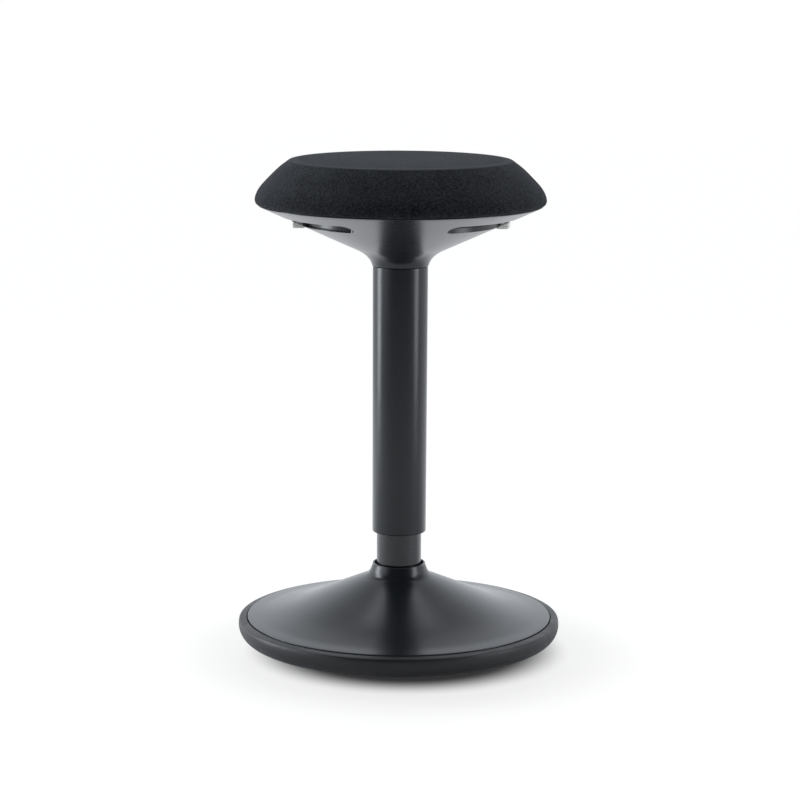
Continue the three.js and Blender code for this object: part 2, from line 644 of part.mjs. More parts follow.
function pistonRod() {
  const head = pistonFoot + PISTON_HEIGHT + FIT;
  const headRadius = ROD_RADIUS + ROD_HEAD_LIP;
  return turned([[0, clipBottom - STUB_END], [stubRadius, clipBottom - STUB_END],
    [stubRadius, clipBottom - FIT], [grooveRadius, clipBottom - FIT], [grooveRadius, clipTop + FIT],
    [stubRadius, clipTop + FIT], [stubRadius, rodShoulder], [ROD_RADIUS, rodShoulder], [ROD_RADIUS, head],
    [headRadius, head], [headRadius, head + ROD_HEAD], [0, head + ROD_HEAD]], SMALL_SIDES);
}

function rodWasher() {
  return ring(stubRadius + FIT, WASHER_RADIUS, washerTop - WASHER_THICKNESS, washerTop, ROUND_SIDES);
}

function rubberBuffer() {
  return ring(ROD_RADIUS + FIT, bufferRadius, rodShoulder, rodShoulder + BUFFER_HEIGHT, ROUND_SIDES);
}

function retainingClip() {
  const inner = grooveRadius + FIT;
  const disc = ring(inner, inner + CLIP_WIDTH, clipBottom, clipTop, ROUND_SIDES);
  return cut(disc, block(0, inner + CLIP_WIDTH + OVERRUN, -CLIP_MOUTH / 2, CLIP_MOUTH / 2,
    clipBottom - OVERRUN, clipTop + OVERRUN));
}

function piston() {
  const outer = cylinderBore - RUNNING;
  const middle = pistonFoot + PISTON_HEIGHT / 2;
  return turned([[ROD_RADIUS + FIT, pistonFoot], [outer, pistonFoot], [outer, middle - PISTON_GROOVE],
    [outer - PISTON_GROOVE, middle - PISTON_GROOVE], [outer - PISTON_GROOVE, middle + PISTON_GROOVE],
    [outer, middle + PISTON_GROOVE], [outer, pistonFoot + PISTON_HEIGHT],
    [ROD_RADIUS + FIT, pistonFoot + PISTON_HEIGHT]], ROUND_SIDES);
}

function pistonRing() {
  const middle = pistonFoot + PISTON_HEIGHT / 2;
  const half = PISTON_GROOVE - FIT;
  const inner = cylinderBore - RUNNING - PISTON_GROOVE + FIT;
  return ring(inner, cylinderBore - FIT, middle - half, middle + half, ROUND_SIDES);
}

function pressureCylinder() {
  const mouth = VALVE_RADIUS + RUNNING;
  const head = cylinderTop - CYLINDER_HEAD;
  return turned([[cylinderBore, cylinderFoot], [cylinderRadius, cylinderFoot], [cylinderRadius, bushFoot],
    [cylinderRadius - CYLINDER_TAPER, cylinderTop], [mouth, cylinderTop], [mouth, head],
    [cylinderBore, head]], ROUND_SIDES);
}

function cylinderSeal() {
  const bottom = cylinderFoot + SEAL_INSET;
  const inner = ROD_RADIUS + RUNNING;
  const outer = cylinderBore - FIT;
  return turned([[inner, bottom], [outer, bottom], [outer, bottom + SEAL_HEIGHT],
    [inner + SEAL_LIP, bottom + SEAL_HEIGHT], [inner + SEAL_LIP, bottom + SEAL_HEIGHT - SEAL_LIP],
    [inner, bottom + SEAL_HEIGHT - SEAL_LIP]], ROUND_SIDES);
}

function valveButton() {
  const discTop = cylinderTop - CYLINDER_HEAD - FIT;
  return turned([[0, discTop - VALVE_DISC], [VALVE_DISC_RADIUS, discTop - VALVE_DISC],
    [VALVE_DISC_RADIUS, discTop], [VALVE_RADIUS, discTop], [VALVE_RADIUS, valveTop], [0, valveTop]],
    SMALL_SIDES);
}

function sleeve() {
  const top = neckEnd - FIT;
  const spigotTop = top + SPIGOT_LENGTH;
  const bead = spigotTop - SPIGOT_BEAD_DROP;
  const lipBore = TUBE_RADIUS + SLEEVE_LIP_GAP;
  return turned([[lipBore, sleeveFoot], [sleeveRadius - SLEEVE_CHAMFER, sleeveFoot],
    [sleeveRadius, sleeveFoot + SLEEVE_CHAMFER], [sleeveRadius + SLEEVE_FLARE, top], [spigotRadius, top],
    [spigotRadius, bead - SPIGOT_BEAD_WIDTH], [spigotRadius + SPIGOT_BEAD, bead], [spigotRadius, bead],
    [spigotRadius, spigotTop], [spigotBore, spigotTop], [spigotBore, top], [sleeveBore, top - SLEEVE_LIP],
    [sleeveBore, sleeveFoot + SLEEVE_LIP], [lipBore, sleeveFoot + SLEEVE_LIP]], TUBE_SIDES);
}

function glideRing() {
  const bottom = sleeveFoot + SLEEVE_LIP + FIT;
  return ring(TUBE_RADIUS + RUNNING, sleeveBore - FIT, bottom, bottom + GLIDE_HEIGHT, TUBE_SIDES);
}

// Under shell

// Outline of a grip slot on the +X side, its ends round
function slotOutline() {
  const middle = (slotInner + slotOuter) / 2;
  const round = (slotOuter - slotInner) / 2;
  const half = SLOT_HALF_ANGLE - round / middle;
  const shape = new THREE.Shape();
  shape.absarc(0, 0, slotOuter, -half, half, false);
  shape.absarc(middle * Math.cos(half), middle * Math.sin(half), round, half, half + Math.PI, false);
  shape.absarc(0, 0, slotInner, half, -half, true);
  shape.absarc(middle * Math.cos(half), -middle * Math.sin(half), round, Math.PI - half,
    2 * Math.PI - half, false);
  return shape;
}

// Wedge of the plan on the +X side, between two angles
function wedge(from, to, bottom, top) {
  const shape = new THREE.Shape();
  shape.moveTo(0, 0);
  shape.absarc(0, 0, SHELL_RADIUS + OVERRUN, from, to, false);
  shape.lineTo(0, 0);
  return upright(shape, bottom, top);
}

function neckFillet(radius, foot, end) {
  const curve = new THREE.QuadraticBezierCurve(new THREE.Vector2(coneFootRadius, foot),
    new THREE.Vector2(radius + NECK_PULL, foot - NECK_PULL_DROP), new THREE.Vector2(radius, end));
  return curve.getPoints(NECK_FILLET_STEPS).map((point) => [point.x, point.y]);
}

function shellSkin() {
  const bore = spigotRadius + FIT;
  const bead = neckEnd - FIT + SPIGOT_LENGTH - SPIGOT_BEAD_DROP;
  const boreEnd = neckEnd + SPIGOT_LENGTH;
  const landInner = SHELL_RADIUS - (shellRise - SHELL_EDGE) / SHELL_SLOPE_SHARE;
  const outside = neckFillet(neckRadius, coneFoot, neckEnd);
  const inside = neckFillet(bore, coneFoot + shellRise, boreEnd).reverse();
  return turned([[SHELL_RADIUS, rimTop], [SHELL_RADIUS, rimEdge], ...outside, [bore, neckEnd],
    [bore, bead - SPIGOT_BEAD_WIDTH], [bore + SPIGOT_BEAD, bead], [bore + SPIGOT_BEAD, bead + FIT],
    [bore, bead + FIT], ...inside, [landInner, rimTop]], WIDE_SIDES);
}

// Wall, shelf and ends of the pocket behind the slot on the +X side
function gripPocket() {
  const inner = pocketRadius - POCKET_WALL;
  const middle = shellRise / 2; // the pocket starts half way through the skin
  const shelfOuter = SHELL_RADIUS - (middle - SHELL_EDGE) / SHELL_SLOPE_SHARE;
  const spaceOuter = SHELL_RADIUS - (rimEdge + shellRise - shelfBottom) / SHELL_SLOPE_SHARE;
  const step = slotOuter + SHELF_STEP;
  const body = turned([[inner, coneHeight(inner) + middle], [shelfOuter, rimTop], [step, rimTop],
    [step, shelfTop], [inner, shelfTop]], WIDE_SIDES);
  const space = ring(pocketRadius, spaceOuter, coneHeight(pocketRadius) - OVERRUN, shelfBottom, WIDE_SIDES);
  const sector = wedge(-POCKET_HALF_ANGLE, POCKET_HALF_ANGLE, coneHeight(inner) - 2 * OVERRUN,
    shelfTop + OVERRUN);
  return cut(common(body, sector), common(space, pocketSector()));
}

// Sector of the plan between the end walls of the pocket
function pocketSector() {
  const half = POCKET_HALF_ANGLE - POCKET_WALL / slotInner;
  return wedge(-half, half, coneHeight(pocketRadius) - 2 * OVERRUN, shelfTop + OVERRUN);
}

// What thins the skin between the pocket's wall and the slot to a level ledge
function ledgeCut() {
  const beyond = slotInner + OVERRUN;
  const edge = coneHeight(slotInner) + LEDGE_EDGE;
  return common(turned([[pocketRadius, coneHeight(pocketRadius) + shellRise], [slotInner, edge], [beyond, edge],
    [beyond, coneHeight(beyond) + shellRise + OVERRUN]], WIDE_SIDES), pocketSector());
}

// Everything that is cut out of the shell for one slot, its paddle, its arm and its screws
function slotCuts() {
  const notchInner = paddleInner - PADDLE_GAP;
  const notchHalf = PADDLE_HALF_WIDTH + PADDLE_GAP;
  const notchOuter = Math.sqrt(slotOuter ** 2 - notchHalf ** 2) - FIT;
  const windowInner = Math.sqrt((pocketRadius - POCKET_WALL) ** 2 - notchHalf ** 2) - OVERRUN;
  const slotTop = coneHeight(slotOuter) + shellRise + OVERRUN;
  const open = shelfTop + OVERRUN;
  return [
    ledgeCut(),
    upright(slotOutline(), coneHeight(slotInner) - OVERRUN, slotTop),
    block(notchInner, notchOuter, -notchHalf, notchHalf, coneHeight(notchInner) - OVERRUN, open),
    block(windowInner, notchInner + OVERRUN, -notchHalf, notchHalf,
      coneHeight(pocketRadius) + shellRise + FIT, open),
    ...shellScrewCentres.filter(([x]) => x > 0).map(([x, y]) => rod(SHELL_SCREW_SHANK + FIT,
      shelfBottom - OVERRUN, open, SMALL_SIDES, x, y)),
  ];
}

function shellRib(angle) {
  const outline = [[SHELL_RIB_INNER, coneHeight(SHELL_RIB_INNER) + shellRise / 2],
    [shellRibOuter, coneHeight(shellRibOuter) + shellRise / 2],
    [shellRibOuter, coneHeight(shellRibOuter) + shellRise + SHELL_RIB_WIDTH],
    [shellRibOuter - SHELL_RIB_RISE, coneHeight(shellRibOuter) + shellRise + SHELL_RIB_RISE / 2],
    [SHELL_RIB_INNER + SHELL_RIB_RISE, coneHeight(SHELL_RIB_INNER) + shellRise + SHELL_RIB_RISE]];
  return across(outline, SHELL_RIB_WIDTH / 2).rotateZ(angle);
}

function underShell() {
  const pockets = [gripPocket(), gripPocket().rotateZ(Math.PI)];
  const sides = [Math.PI / 2, -Math.PI / 2];
  const ribs = sides.flatMap((side) => SHELL_RIB_ANGLES.map((turn) => shellRib(side + turn)));
  const cuts = [...slotCuts(), ...slotCuts().map((tool) => tool.rotateZ(Math.PI))];
  return cut(join(shellSkin(), ...pockets, ...ribs), ...cuts);
}

function shellScrew(x, y) {
  const headTop = shelfBottom - FIT;
  return headedBolt(x, y, SHELL_SCREW_SHANK, headTop, boardBottom + SHELL_SCREW_GRIP, SHELL_SCREW_HEAD,
    headTop - SHELL_SCREW_HEAD_HEIGHT, headTop, SMALL_SIDES);
}

// Release mechanism

// Hub, ribbed arm and finger paddle of a lever on the +X side
function leverBody() {
  const [low, high] = [pivotLevel - LEVER_PLATE / 2, pivotLevel + LEVER_PLATE / 2];
  const half = LEVER_ARM_HALF_WIDTH;
  const end = Math.sqrt((paddleOuter - LIP_THICKNESS / 2) ** 2 - half ** 2);
  const ribTop = high + LEVER_RIB_RISE;
  const rib = across([[PIVOT_OFFSET, low], [end, low], [end, lipTop], [paddleInner, ribTop],
    [PIVOT_OFFSET, ribTop]], LEVER_RIB / 2);
  const aside = half - LEVER_RIB / 2;
  return join(crossBar(hubRadius, PIVOT_OFFSET, pivotLevel, -HUB_HALF_LENGTH, HUB_HALF_LENGTH, ROUND_SIDES),
    block(PIVOT_OFFSET, end, -half, half, low, high), rib.clone().translate(0, aside, 0),
    rib.translate(0, -aside, 0), ...paddleParts());
}

// Finger paddle, a wedge in the line of the cone, and the lip by which it hangs from its arm
function paddleParts() {
  const top = coneHeight(paddleOuter) + PADDLE_PROUD;
  const ramp = turned([[paddleInner - PADDLE_PROUD / SHELL_SLOPE_SHARE, paddleBottom],
    [paddleOuter - PADDLE_ROUND, paddleBottom],
    [paddleOuter - PADDLE_ROUND / 4, paddleBottom + PADDLE_ROUND / 4],
    [paddleOuter, paddleBottom + PADDLE_ROUND], [paddleOuter, top]], WIDE_SIDES);
  const lip = ring(paddleOuter - LIP_THICKNESS, paddleOuter, paddleBottom + PADDLE_ROUND, lipTop, WIDE_SIDES);
  const [low, high, beyond] = [paddleBottom - OVERRUN, lipTop + OVERRUN, paddleOuter + OVERRUN];
  return [common(ramp, block(paddleInner, beyond, -PADDLE_HALF_WIDTH, PADDLE_HALF_WIDTH, low, high)),
    common(lip, block(paddleInner, beyond, -LEVER_ARM_HALF_WIDTH, LEVER_ARM_HALF_WIDTH, low, high))];
}

function pinBore() {
  return crossBar(PIN_RADIUS + RUNNING, PIVOT_OFFSET, pivotLevel, -HUB_HALF_LENGTH - OVERRUN,
    HUB_HALF_LENGTH + OVERRUN, SMALL_SIDES);
}

// Lever with the tongue, turned to the -X side
function releaseLeverLeft() {
  const tongue = block(-TONGUE_REACH, PIVOT_OFFSET, -TONGUE_HALF_WIDTH, TONGUE_HALF_WIDTH, tongueBottom,
    tongueBottom + TONGUE_THICKNESS);
  return cut(join(leverBody(), tongue), pinBore()).rotateZ(Math.PI);
}

// Lever with the loop around the tongue and the nub on the valve
function releaseLeverRight() {
  const loop = block(-TONGUE_REACH, PIVOT_OFFSET, -linkHalfWidth, linkHalfWidth, linkBottom, linkTop);
  const nub = block(-NUB_HALF_LENGTH, NUB_HALF_LENGTH, -VALVE_RADIUS, VALVE_RADIUS, nubBottom, loopFloor);
  const half = TONGUE_HALF_WIDTH + RUNNING;
  const window = block(-TONGUE_REACH - OVERRUN, LINK_DEPTH, -half, half, loopFloor, loopRoof);
  return cut(join(leverBody(), loop, nub), window, pinBore());
}

// Radius of the cylinder on its seat taper
function cylinderTaper(level) {
  return cylinderRadius - (CYLINDER_TAPER * (level - bushFoot)) / (cylinderTop - bushFoot);
}

function mechanismBracket() {
  const half = bracketHalfLength;
  const flange = block(-flangeHalfLength, flangeHalfLength, -flangeHalfWidth, flangeHalfWidth,
    flangeBottom, flangeTop);
  const channel = cut(block(-half, half, -cheekOuter, cheekOuter, bracketFloor, flangeTop),
    block(-half - OVERRUN, half + OVERRUN, -cheekInner, cheekInner, bracketFloor + BRACKET_WALL,
      flangeBottom));
  const bush = rod(cylinderRadius + BUSH_WALL, bushFoot, bushTop, TUBE_SIDES);
  const bore = turned([[0, bushFoot - OVERRUN], [cylinderTaper(bushFoot) + FIT, bushFoot - OVERRUN],
    [cylinderTaper(bushFoot) + FIT, bushFoot], [cylinderTaper(bushTop) + FIT, bushTop],
    [cylinderTaper(bushTop) + FIT, bushTop + OVERRUN], [0, bushTop + OVERRUN]], ROUND_SIDES);
  const pinHoles = [1, -1].map((side) => crossBar(PIN_RADIUS + FIT, side * PIVOT_OFFSET, pivotLevel,
    -cheekOuter - OVERRUN, cheekOuter + OVERRUN, SMALL_SIDES));
  const boltHoles = seatBoltCentres.map(([x, y]) => rod(SEAT_BOLT_SHANK + FIT, flangeBottom - OVERRUN,
    flangeTop + OVERRUN, SMALL_SIDES, x, y));
  return cut(join(flange, channel, bush), bore, ...pinHoles, ...boltHoles);
}

function leverPin(x) {
  const start = -cheekOuter - FIT;
  return join(crossBar(PIN_RADIUS, x, pivotLevel, start - PIN_HEAD, cheekOuter + PIN_END, SMALL_SIDES),
    crossBar(PIN_RADIUS + PIN_HEAD_LIP, x, pivotLevel, start - PIN_HEAD, start, SMALL_SIDES));
}

function pinClip(x) {
  const start = cheekOuter + FIT;
  return cut(crossBar(PIN_RADIUS + PIN_CLIP_WIDTH, x, pivotLevel, start, start + PIN_CLIP, SMALL_SIDES),
    crossBar(PIN_RADIUS + FIT, x, pivotLevel, start - OVERRUN, start + PIN_CLIP + OVERRUN, SMALL_SIDES));
}

// Seat

function seatBoard() {
  const nutHoles = seatBoltCentres.flatMap(([x, y]) => [
    rod(NUT_BARREL + FIT, boardBottom - OVERRUN, boardTop + OVERRUN, SMALL_SIDES, x, y),
    rod(NUT_FLANGE_RADIUS + FIT, boardTop - NUT_FLANGE - FIT, boardTop + OVERRUN, ROUND_SIDES, x, y)]);
  const pilots = shellScrewCentres.map(([x, y]) => rod(SHELL_SCREW_SHANK + FIT, boardBottom - OVERRUN,
    boardBottom + SHELL_SCREW_GRIP + FIT, SMALL_SIDES, x, y));
  return cut(rod(boardRadius, boardBottom, boardTop, SEAT_SIDES), ...nutHoles, ...pilots);
}

function teeNut(x, y) {
  const body = join(rod(NUT_BARREL, boardTop - NUT_DEPTH, boardTop, SMALL_SIDES, x, y),
    rod(NUT_FLANGE_RADIUS, boardTop - NUT_FLANGE, boardTop, ROUND_SIDES, x, y));
  return cut(body, rod(SEAT_BOLT_SHANK + FIT, boardBottom, boardTop + OVERRUN, SMALL_SIDES, x, y));
}

function bracketBolt(x, y) {
  const headTop = flangeBottom - FIT;
  return headedBolt(x, y, SEAT_BOLT_SHANK, headTop, boardTop - NUT_FLANGE, SEAT_BOLT_HEAD,
    headTop - SEAT_BOLT_HEAD_HEIGHT, headTop, HEX_SIDES);
}

// Crown and sides of the cushion, drawn in by an inset, down to a level
function cushionSection(shares, inset, lowest) {
  return shares.map(([outward, up]) => [Math.max(cushionRadius * outward - inset, 0),
    hemBottom + CUSHION_HEIGHT * up - inset]).filter(([, level]) => level > lowest);
}

function foamPad() {
  const section = cushionSection(CUSHION_SHARES, CLOTH + FIT, boardBottom);
  const [lastRadius] = section[section.length - 1];
  return turned([...section, [lastRadius, boardBottom], [boardRadius + FIT, boardBottom],
    [boardRadius + FIT, boardTop + FIT], [0, boardTop + FIT]], SEAT_SIDES);
}

function seatCover() {
  const outside = [...cushionSection(CUSHION_SHARES, 0, hemBottom), ...cushionSection(HEM_TURN_SHARES, 0, 0)];
  const inside = cushionSection(CUSHION_SHARES, CLOTH, hemTop);
  const [lastRadius] = inside[inside.length - 1];
  const hemInner = boardRadius - HEM_TURN;
  return turned([...outside, [hemInner, hemBottom], [hemInner, hemTop], [lastRadius, hemTop],
    ...inside.reverse()], SEAT_SIDES);
}

const CHARCOAL = '#33353a';
const SOFT_BLACK = '#1d1e21';
const RUBBER_BLACK = '#2b2c2e';
const BLACK_STEEL = '#26272a';
const BRIGHT_STEEL = '#c8cacd';

// A row of like fasteners, one named piece for each centre
function addFasteners(name, centres, make) {
  centres.forEach(([x, y], i) => addPiece(`${name}_${i + 1}`, make(x, y), '#a9acb0', 0.35, 0.9));
}

const socketBoltSeat = socketBottom + SOCKET_FLANGE;
const weightBoltSeat = panTop + FIT + WEIGHT_THICKNESS - WEIGHT_COUNTERBORE;

addPiece('rubber_sole', rubberSole(), RUBBER_BLACK, 0.7, 0);
addPiece('base_pan', basePan(), BLACK_STEEL, 0.5, 0.6);
addPiece('counterweight', counterweight(), '#3f3f40', 0.75, 0.5);
addPiece('column_socket', columnSocket(), BLACK_STEEL, 0.5, 0.6);
addFasteners('socket_bolt', socketBoltCentres, (x, y) => baseBolt(x, y, socketBoltSeat));
addFasteners('weight_bolt', weightBoltCentres, (x, y) => baseBolt(x, y, weightBoltSeat));
addPiece('base_cover', baseCover(), CHARCOAL, 0.42, 0);
addFasteners('cover_screw', coverScrewCentres, coverScrew);

addPiece('outer_tube', outerTube(), BLACK_STEEL, 0.35, 0.4);
addPiece('guide_bushing', guideBushing(), '#d8d8d2', 0.5, 0);
addPiece('bearing_lower_race', bearingRace(lowerRace), BRIGHT_STEEL, 0.25, 1);
addPiece('bearing_cage', bearingCage(), '#b08d4a', 0.4, 0.8);
addPiece('bearing_upper_race', bearingRace(upperRace), BRIGHT_STEEL, 0.25, 1);
addPiece('piston_rod', pistonRod(), BRIGHT_STEEL, 0.12, 1);
addPiece('rod_washer', rodWasher(), BRIGHT_STEEL, 0.35, 0.9);
addPiece('retaining_clip', retainingClip(), BLACK_STEEL, 0.4, 0.8);
addPiece('rubber_buffer', rubberBuffer(), RUBBER_BLACK, 0.8, 0);
addPiece('piston', piston(), '#8f9296', 0.3, 0.9);
addPiece('piston_ring', pistonRing(), RUBBER_BLACK, 0.6, 0);
addPiece('pressure_cylinder', pressureCylinder(), BLACK_STEEL, 0.3, 0.5);
addPiece('cylinder_seal', cylinderSeal(), '#4a4a48', 0.6, 0);
addPiece('valve_button', valveButton(), BRIGHT_STEEL, 0.2, 1);
addPiece('sleeve', sleeve(), CHARCOAL, 0.4, 0);
addPiece('glide_ring', glideRing(), '#151516', 0.55, 0);

addPiece('under_shell', underShell(), CHARCOAL, 0.42, 0);
addFasteners('shell_screw', shellScrewCentres, shellScrew);
addPiece('mechanism_bracket', mechanismBracket(), BLACK_STEEL, 0.45, 0.6);
addPiece('release_lever_left', releaseLeverLeft(), CHARCOAL, 0.45, 0);
addPiece('release_lever_right', releaseLeverRight(), CHARCOAL, 0.45, 0);
for (const [side, x] of [['left', -PIVOT_OFFSET], ['right', PIVOT_OFFSET]]) {
  addPiece(`lever_pin_${side}`, leverPin(x), BRIGHT_STEEL, 0.25, 1);
  addPiece(`pin_clip_${side}`, pinClip(x), BRIGHT_STEEL, 0.35, 0.9);
}
addPiece('seat_board', seatBoard(), '#b58d5c', 0.7, 0);
addFasteners('tee_nut', seatBoltCentres, teeNut);
addFasteners('bracket_bolt', seatBoltCentres, bracketBolt);
addPiece('foam_pad', foamPad(), '#d9d2b8', 0.95, 0);
addPiece('seat_cover', seatCover(), SOFT_BLACK, 0.95, 0);

export default stool;
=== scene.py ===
"""Wobble stool, dressed for its picture.

A round upholstered seat on a gas spring column stands on a weighted rocking base. The visible
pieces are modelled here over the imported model, every finish is a procedural material, and a
plain white studio stands round the stool. Sections are written in millimetres, as radius and
level, and become metres as the meshes are made.
"""

import json
import logging
import math
from abc import ABC, abstractmethod
from collections.abc import Callable, Iterable, Iterator, Sequence
from contextlib import contextmanager
from dataclasses import dataclass
from enum import Enum
from functools import cache, partialmethod
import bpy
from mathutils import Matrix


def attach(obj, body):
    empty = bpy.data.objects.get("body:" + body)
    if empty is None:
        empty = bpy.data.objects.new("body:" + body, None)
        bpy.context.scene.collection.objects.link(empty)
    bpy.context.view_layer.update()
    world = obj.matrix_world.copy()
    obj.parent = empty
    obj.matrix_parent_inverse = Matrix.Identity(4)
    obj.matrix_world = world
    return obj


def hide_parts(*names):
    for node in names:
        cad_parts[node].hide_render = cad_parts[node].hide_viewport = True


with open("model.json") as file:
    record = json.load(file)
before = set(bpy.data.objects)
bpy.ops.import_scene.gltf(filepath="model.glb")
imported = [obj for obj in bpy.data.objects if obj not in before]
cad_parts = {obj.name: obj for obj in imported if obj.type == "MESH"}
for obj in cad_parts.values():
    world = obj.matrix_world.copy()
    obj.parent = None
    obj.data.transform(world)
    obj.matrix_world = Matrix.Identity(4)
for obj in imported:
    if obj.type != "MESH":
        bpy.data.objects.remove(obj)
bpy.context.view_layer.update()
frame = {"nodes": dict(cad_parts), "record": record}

from types import MappingProxyType

import bmesh
import bpy
from mathutils import Matrix, Vector
from mathutils.kdtree import KDTree

log = logging.getLogger("stool")

MM = 0.001
WELD = 2e-6  # points closer than this many metres are one point
CUT_WELD = 2e-5  # the same after cuts
ARC_STEP = math.radians(14)
ARC_SHARE = 0.46  # of a side, the most that a rounding may take
STRAIGHT = math.radians(1)  # a corner that turns less isn't rounded
SMOOTH_ANGLE = math.radians(34)
OVERRUN = 2.0  # how far a cut runs past the face it opens, mm
FIT = 0.3  # gap between pieces that seat, mm
BEAD_DROP = 4.0  # snap bead of the sleeve's spigot below its end, mm
BEAD_RAMP = 2.0
BEAD_RISE = 0.5
SHELL_SIDES = 192
TUBE_SIDES = 128
SMALL_SIDES = 32
SLOT_SIDES = 48
HOLE_SIDES = 24

Point = tuple[float, float]
Place = tuple[float, float, float]
Colour = tuple[float, float, float]
Piece = bpy.types.Object


class Body(Enum):
    """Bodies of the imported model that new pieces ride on."""

    BASE = "base"
    SEAT = "seat"
    LEVER_LEFT = "lever_left"
    LEVER_RIGHT = "lever_right"


class Slot(Enum):
    """Finishes of the record."""

    SOLE_RUBBER = "sole_rubber"
    SEAL_RUBBER = "seal_rubber"
    CHARCOAL_PLASTIC = "charcoal_plastic"
    LEVER_PLASTIC = "lever_plastic"
    GLIDE_PLASTIC = "glide_plastic"
    GUIDE_PLASTIC = "guide_plastic"
    BLACK_STEEL = "black_steel"
    BRIGHT_STEEL = "bright_steel"
    ZINC_STEEL = "zinc_steel"
    WEIGHT_IRON = "weight_iron"
    CAGE_BRASS = "cage_brass"
    PISTON_ALUMINIUM = "piston_aluminium"
    PLYWOOD = "plywood"
    FOAM = "foam"
    SEAT_FABRIC = "seat_fabric"


class Merge(Enum):
    """What a boolean does with its tool."""

    JOIN = "UNION"
    CUT = "DIFFERENCE"


# Sections


@dataclass(frozen=True)
class Corner:
    """Corner of a section, in millimetres, and the radius it is rounded to."""

    radius: float
    level: float
    round: float = 0.0

    @property
    def place(self) -> Vector:
        """Where the sharp corner is."""
        return Vector((self.radius, self.level))


def rounded(before: Corner, corner: Corner, after: Corner) -> list[Point]:
    """Replaces a sharp corner by an arc that touches both of its sides.

    Args:
        before: corner that comes first.
        corner: corner to round.
        after: corner that follows.

    Returns:
        Points along the arc, or the corner itself where nothing turns.
    """
    back = before.place - corner.place
    ahead = after.place - corner.place
    half = back.angle(ahead) / 2
    turn = math.pi - 2 * half
    if corner.round == 0 or turn < STRAIGHT:
        return [(corner.radius, corner.level)]
    reach = min(corner.round / math.tan(half), ARC_SHARE * min(back.length, ahead.length))
    bisector = (back.normalized() + ahead.normalized()).normalized()
    middle = corner.place + bisector * reach / math.cos(half)
    start = corner.place + back.normalized() * reach - middle
    end = corner.place + ahead.normalized() * reach - middle
    steps = max(2, round(turn / ARC_STEP))
    points = []
    for step in range(steps + 1):
        share = turn * step / steps
        arm = start * math.sin(turn - share) + end * math.sin(share)
        points.append(tuple(middle + arm / math.sin(turn)))
    return points


def outline(corners: Sequence[Corner], closed: bool = True) -> list[Point]:
    """Draws a section with its corners rounded.

    Args:
        corners: corners in order.
        closed: whether the last corner joins the first.

    Returns:
        Points of the section, radius and level, in millimetres.
    """
    points: list[Point] = []
    last = len(corners) - 1
    for index, corner in enumerate(corners):
        if not closed and index in (0, last):
            points.append((corner.radius, corner.level))
            continue
        following = corners[0] if index == last else corners[index + 1]
        points.extend(rounded(corners[index - 1], corner, following))
    return points


def flowing(points: Sequence[Point], steps: int) -> list[Corner]:
    """Runs a smooth curve through points.

    Args:
        points: radius and level of each point, in order.
        steps: pieces of curve between two points.

    Returns:
        Corners along the curve, both ends among them.
    """
    places = [Vector(point) for point in points]
    gaps = [(b - a).length for a, b in zip(places, places[1:])]
    slopes = [(places[1] - places[0]) / gaps[0]]
    for index in range(1, len(places) - 1):
        run = gaps[index - 1] + gaps[index]
        slopes.append((places[index + 1] - places[index - 1]) / run)
    slopes.append((places[-1] - places[-2]) / gaps[-1])
    corners = []
    for index, gap in enumerate(gaps):
        for step in range(steps):
            t = step / steps
            here = (
                places[index] * (2 * t**3 - 3 * t**2 + 1)
                + slopes[index] * gap * (t**3 - 2 * t**2 + t)
                + places[index + 1] * (3 * t**2 - 2 * t**3)
                + slopes[index + 1] * gap * (t**3 - t**2)
            )
            corners.append(Corner(here.x, here.y))
    corners.append(Corner(*points[-1]))
    return corners


def quarter(start: Point, end: Point, steps: int) -> list[Corner]:
    """Draws a quarter of an ellipse that leaves its start level and arrives upright.

    Args:
        start: point where the curve runs outwards.
        end: point where the curve runs up.
        steps: pieces of the curve.

    Returns:
        Corners after the start, the end among them.
    """
    corners = []
    for step in range(1, steps + 1):
        turn = math.pi / 2 * step / steps
        radius = start[0] + (end[0] - start[0]) * math.sin(turn)
        corners.append(Corner(radius, end[1] - (end[1] - start[1]) * math.cos(turn)))
    return corners


# Modelling


def deselect() -> None:
    """Leaves no object selected or active."""
    bpy.ops.object.select_all(action="DESELECT")
    bpy.context.view_layer.objects.active = None


def pick(piece: Piece) -> None:
    """Selects one object alone and makes it active.

    Args:
        piece: the object.
    """
    deselect()
    piece.select_set(True)
    bpy.context.view_layer.objects.active = piece


@contextmanager
def editing(piece: Piece) -> Iterator[bmesh.types.BMesh]:
    """Opens a piece in edit mode with nothing selected.

    Args:
        piece: mesh object to edit.

    Yields:
        The piece's edit mesh, as it is on entry.
    """
    pick(piece)
    bpy.ops.object.mode_set(mode="EDIT")
    bpy.ops.mesh.select_mode(type="VERT")
    bpy.ops.mesh.select_all(action="DESELECT")
    yield bmesh.from_edit_mesh(piece.data)
    bpy.ops.object.mode_set(mode="OBJECT")


def added(name: str) -> Piece:
    """Names the primitive just added and puts its place into its mesh.

    Args:
        name: name of the new object and its mesh.

    Returns:
        The object.
    """
    piece = bpy.context.view_layer.objects.active
    piece.name = name
    piece.data.name = name
    bpy.ops.object.transform_apply(location=True, rotation=True, scale=True)
    return piece


def apply_all(piece: Piece) -> None:
    """Applies every modifier of a piece.

    Args:
        piece: object with modifiers.
    """
    pick(piece)
    for modifier in list(piece.modifiers):
        bpy.ops.object.modifier_apply(modifier=modifier.name)


def tidy(piece: Piece, distance: float = WELD) -> None:
    """Merges doubled points and turns every face outwards.

    Args:
        piece: closed mesh.
        distance: points closer than this are merged, in metres.
    """
    with editing(piece):
        bpy.ops.mesh.select_all(action="SELECT")
        bpy.ops.mesh.remove_doubles(threshold=distance)
        bpy.ops.mesh.normals_make_consistent(inside=False)


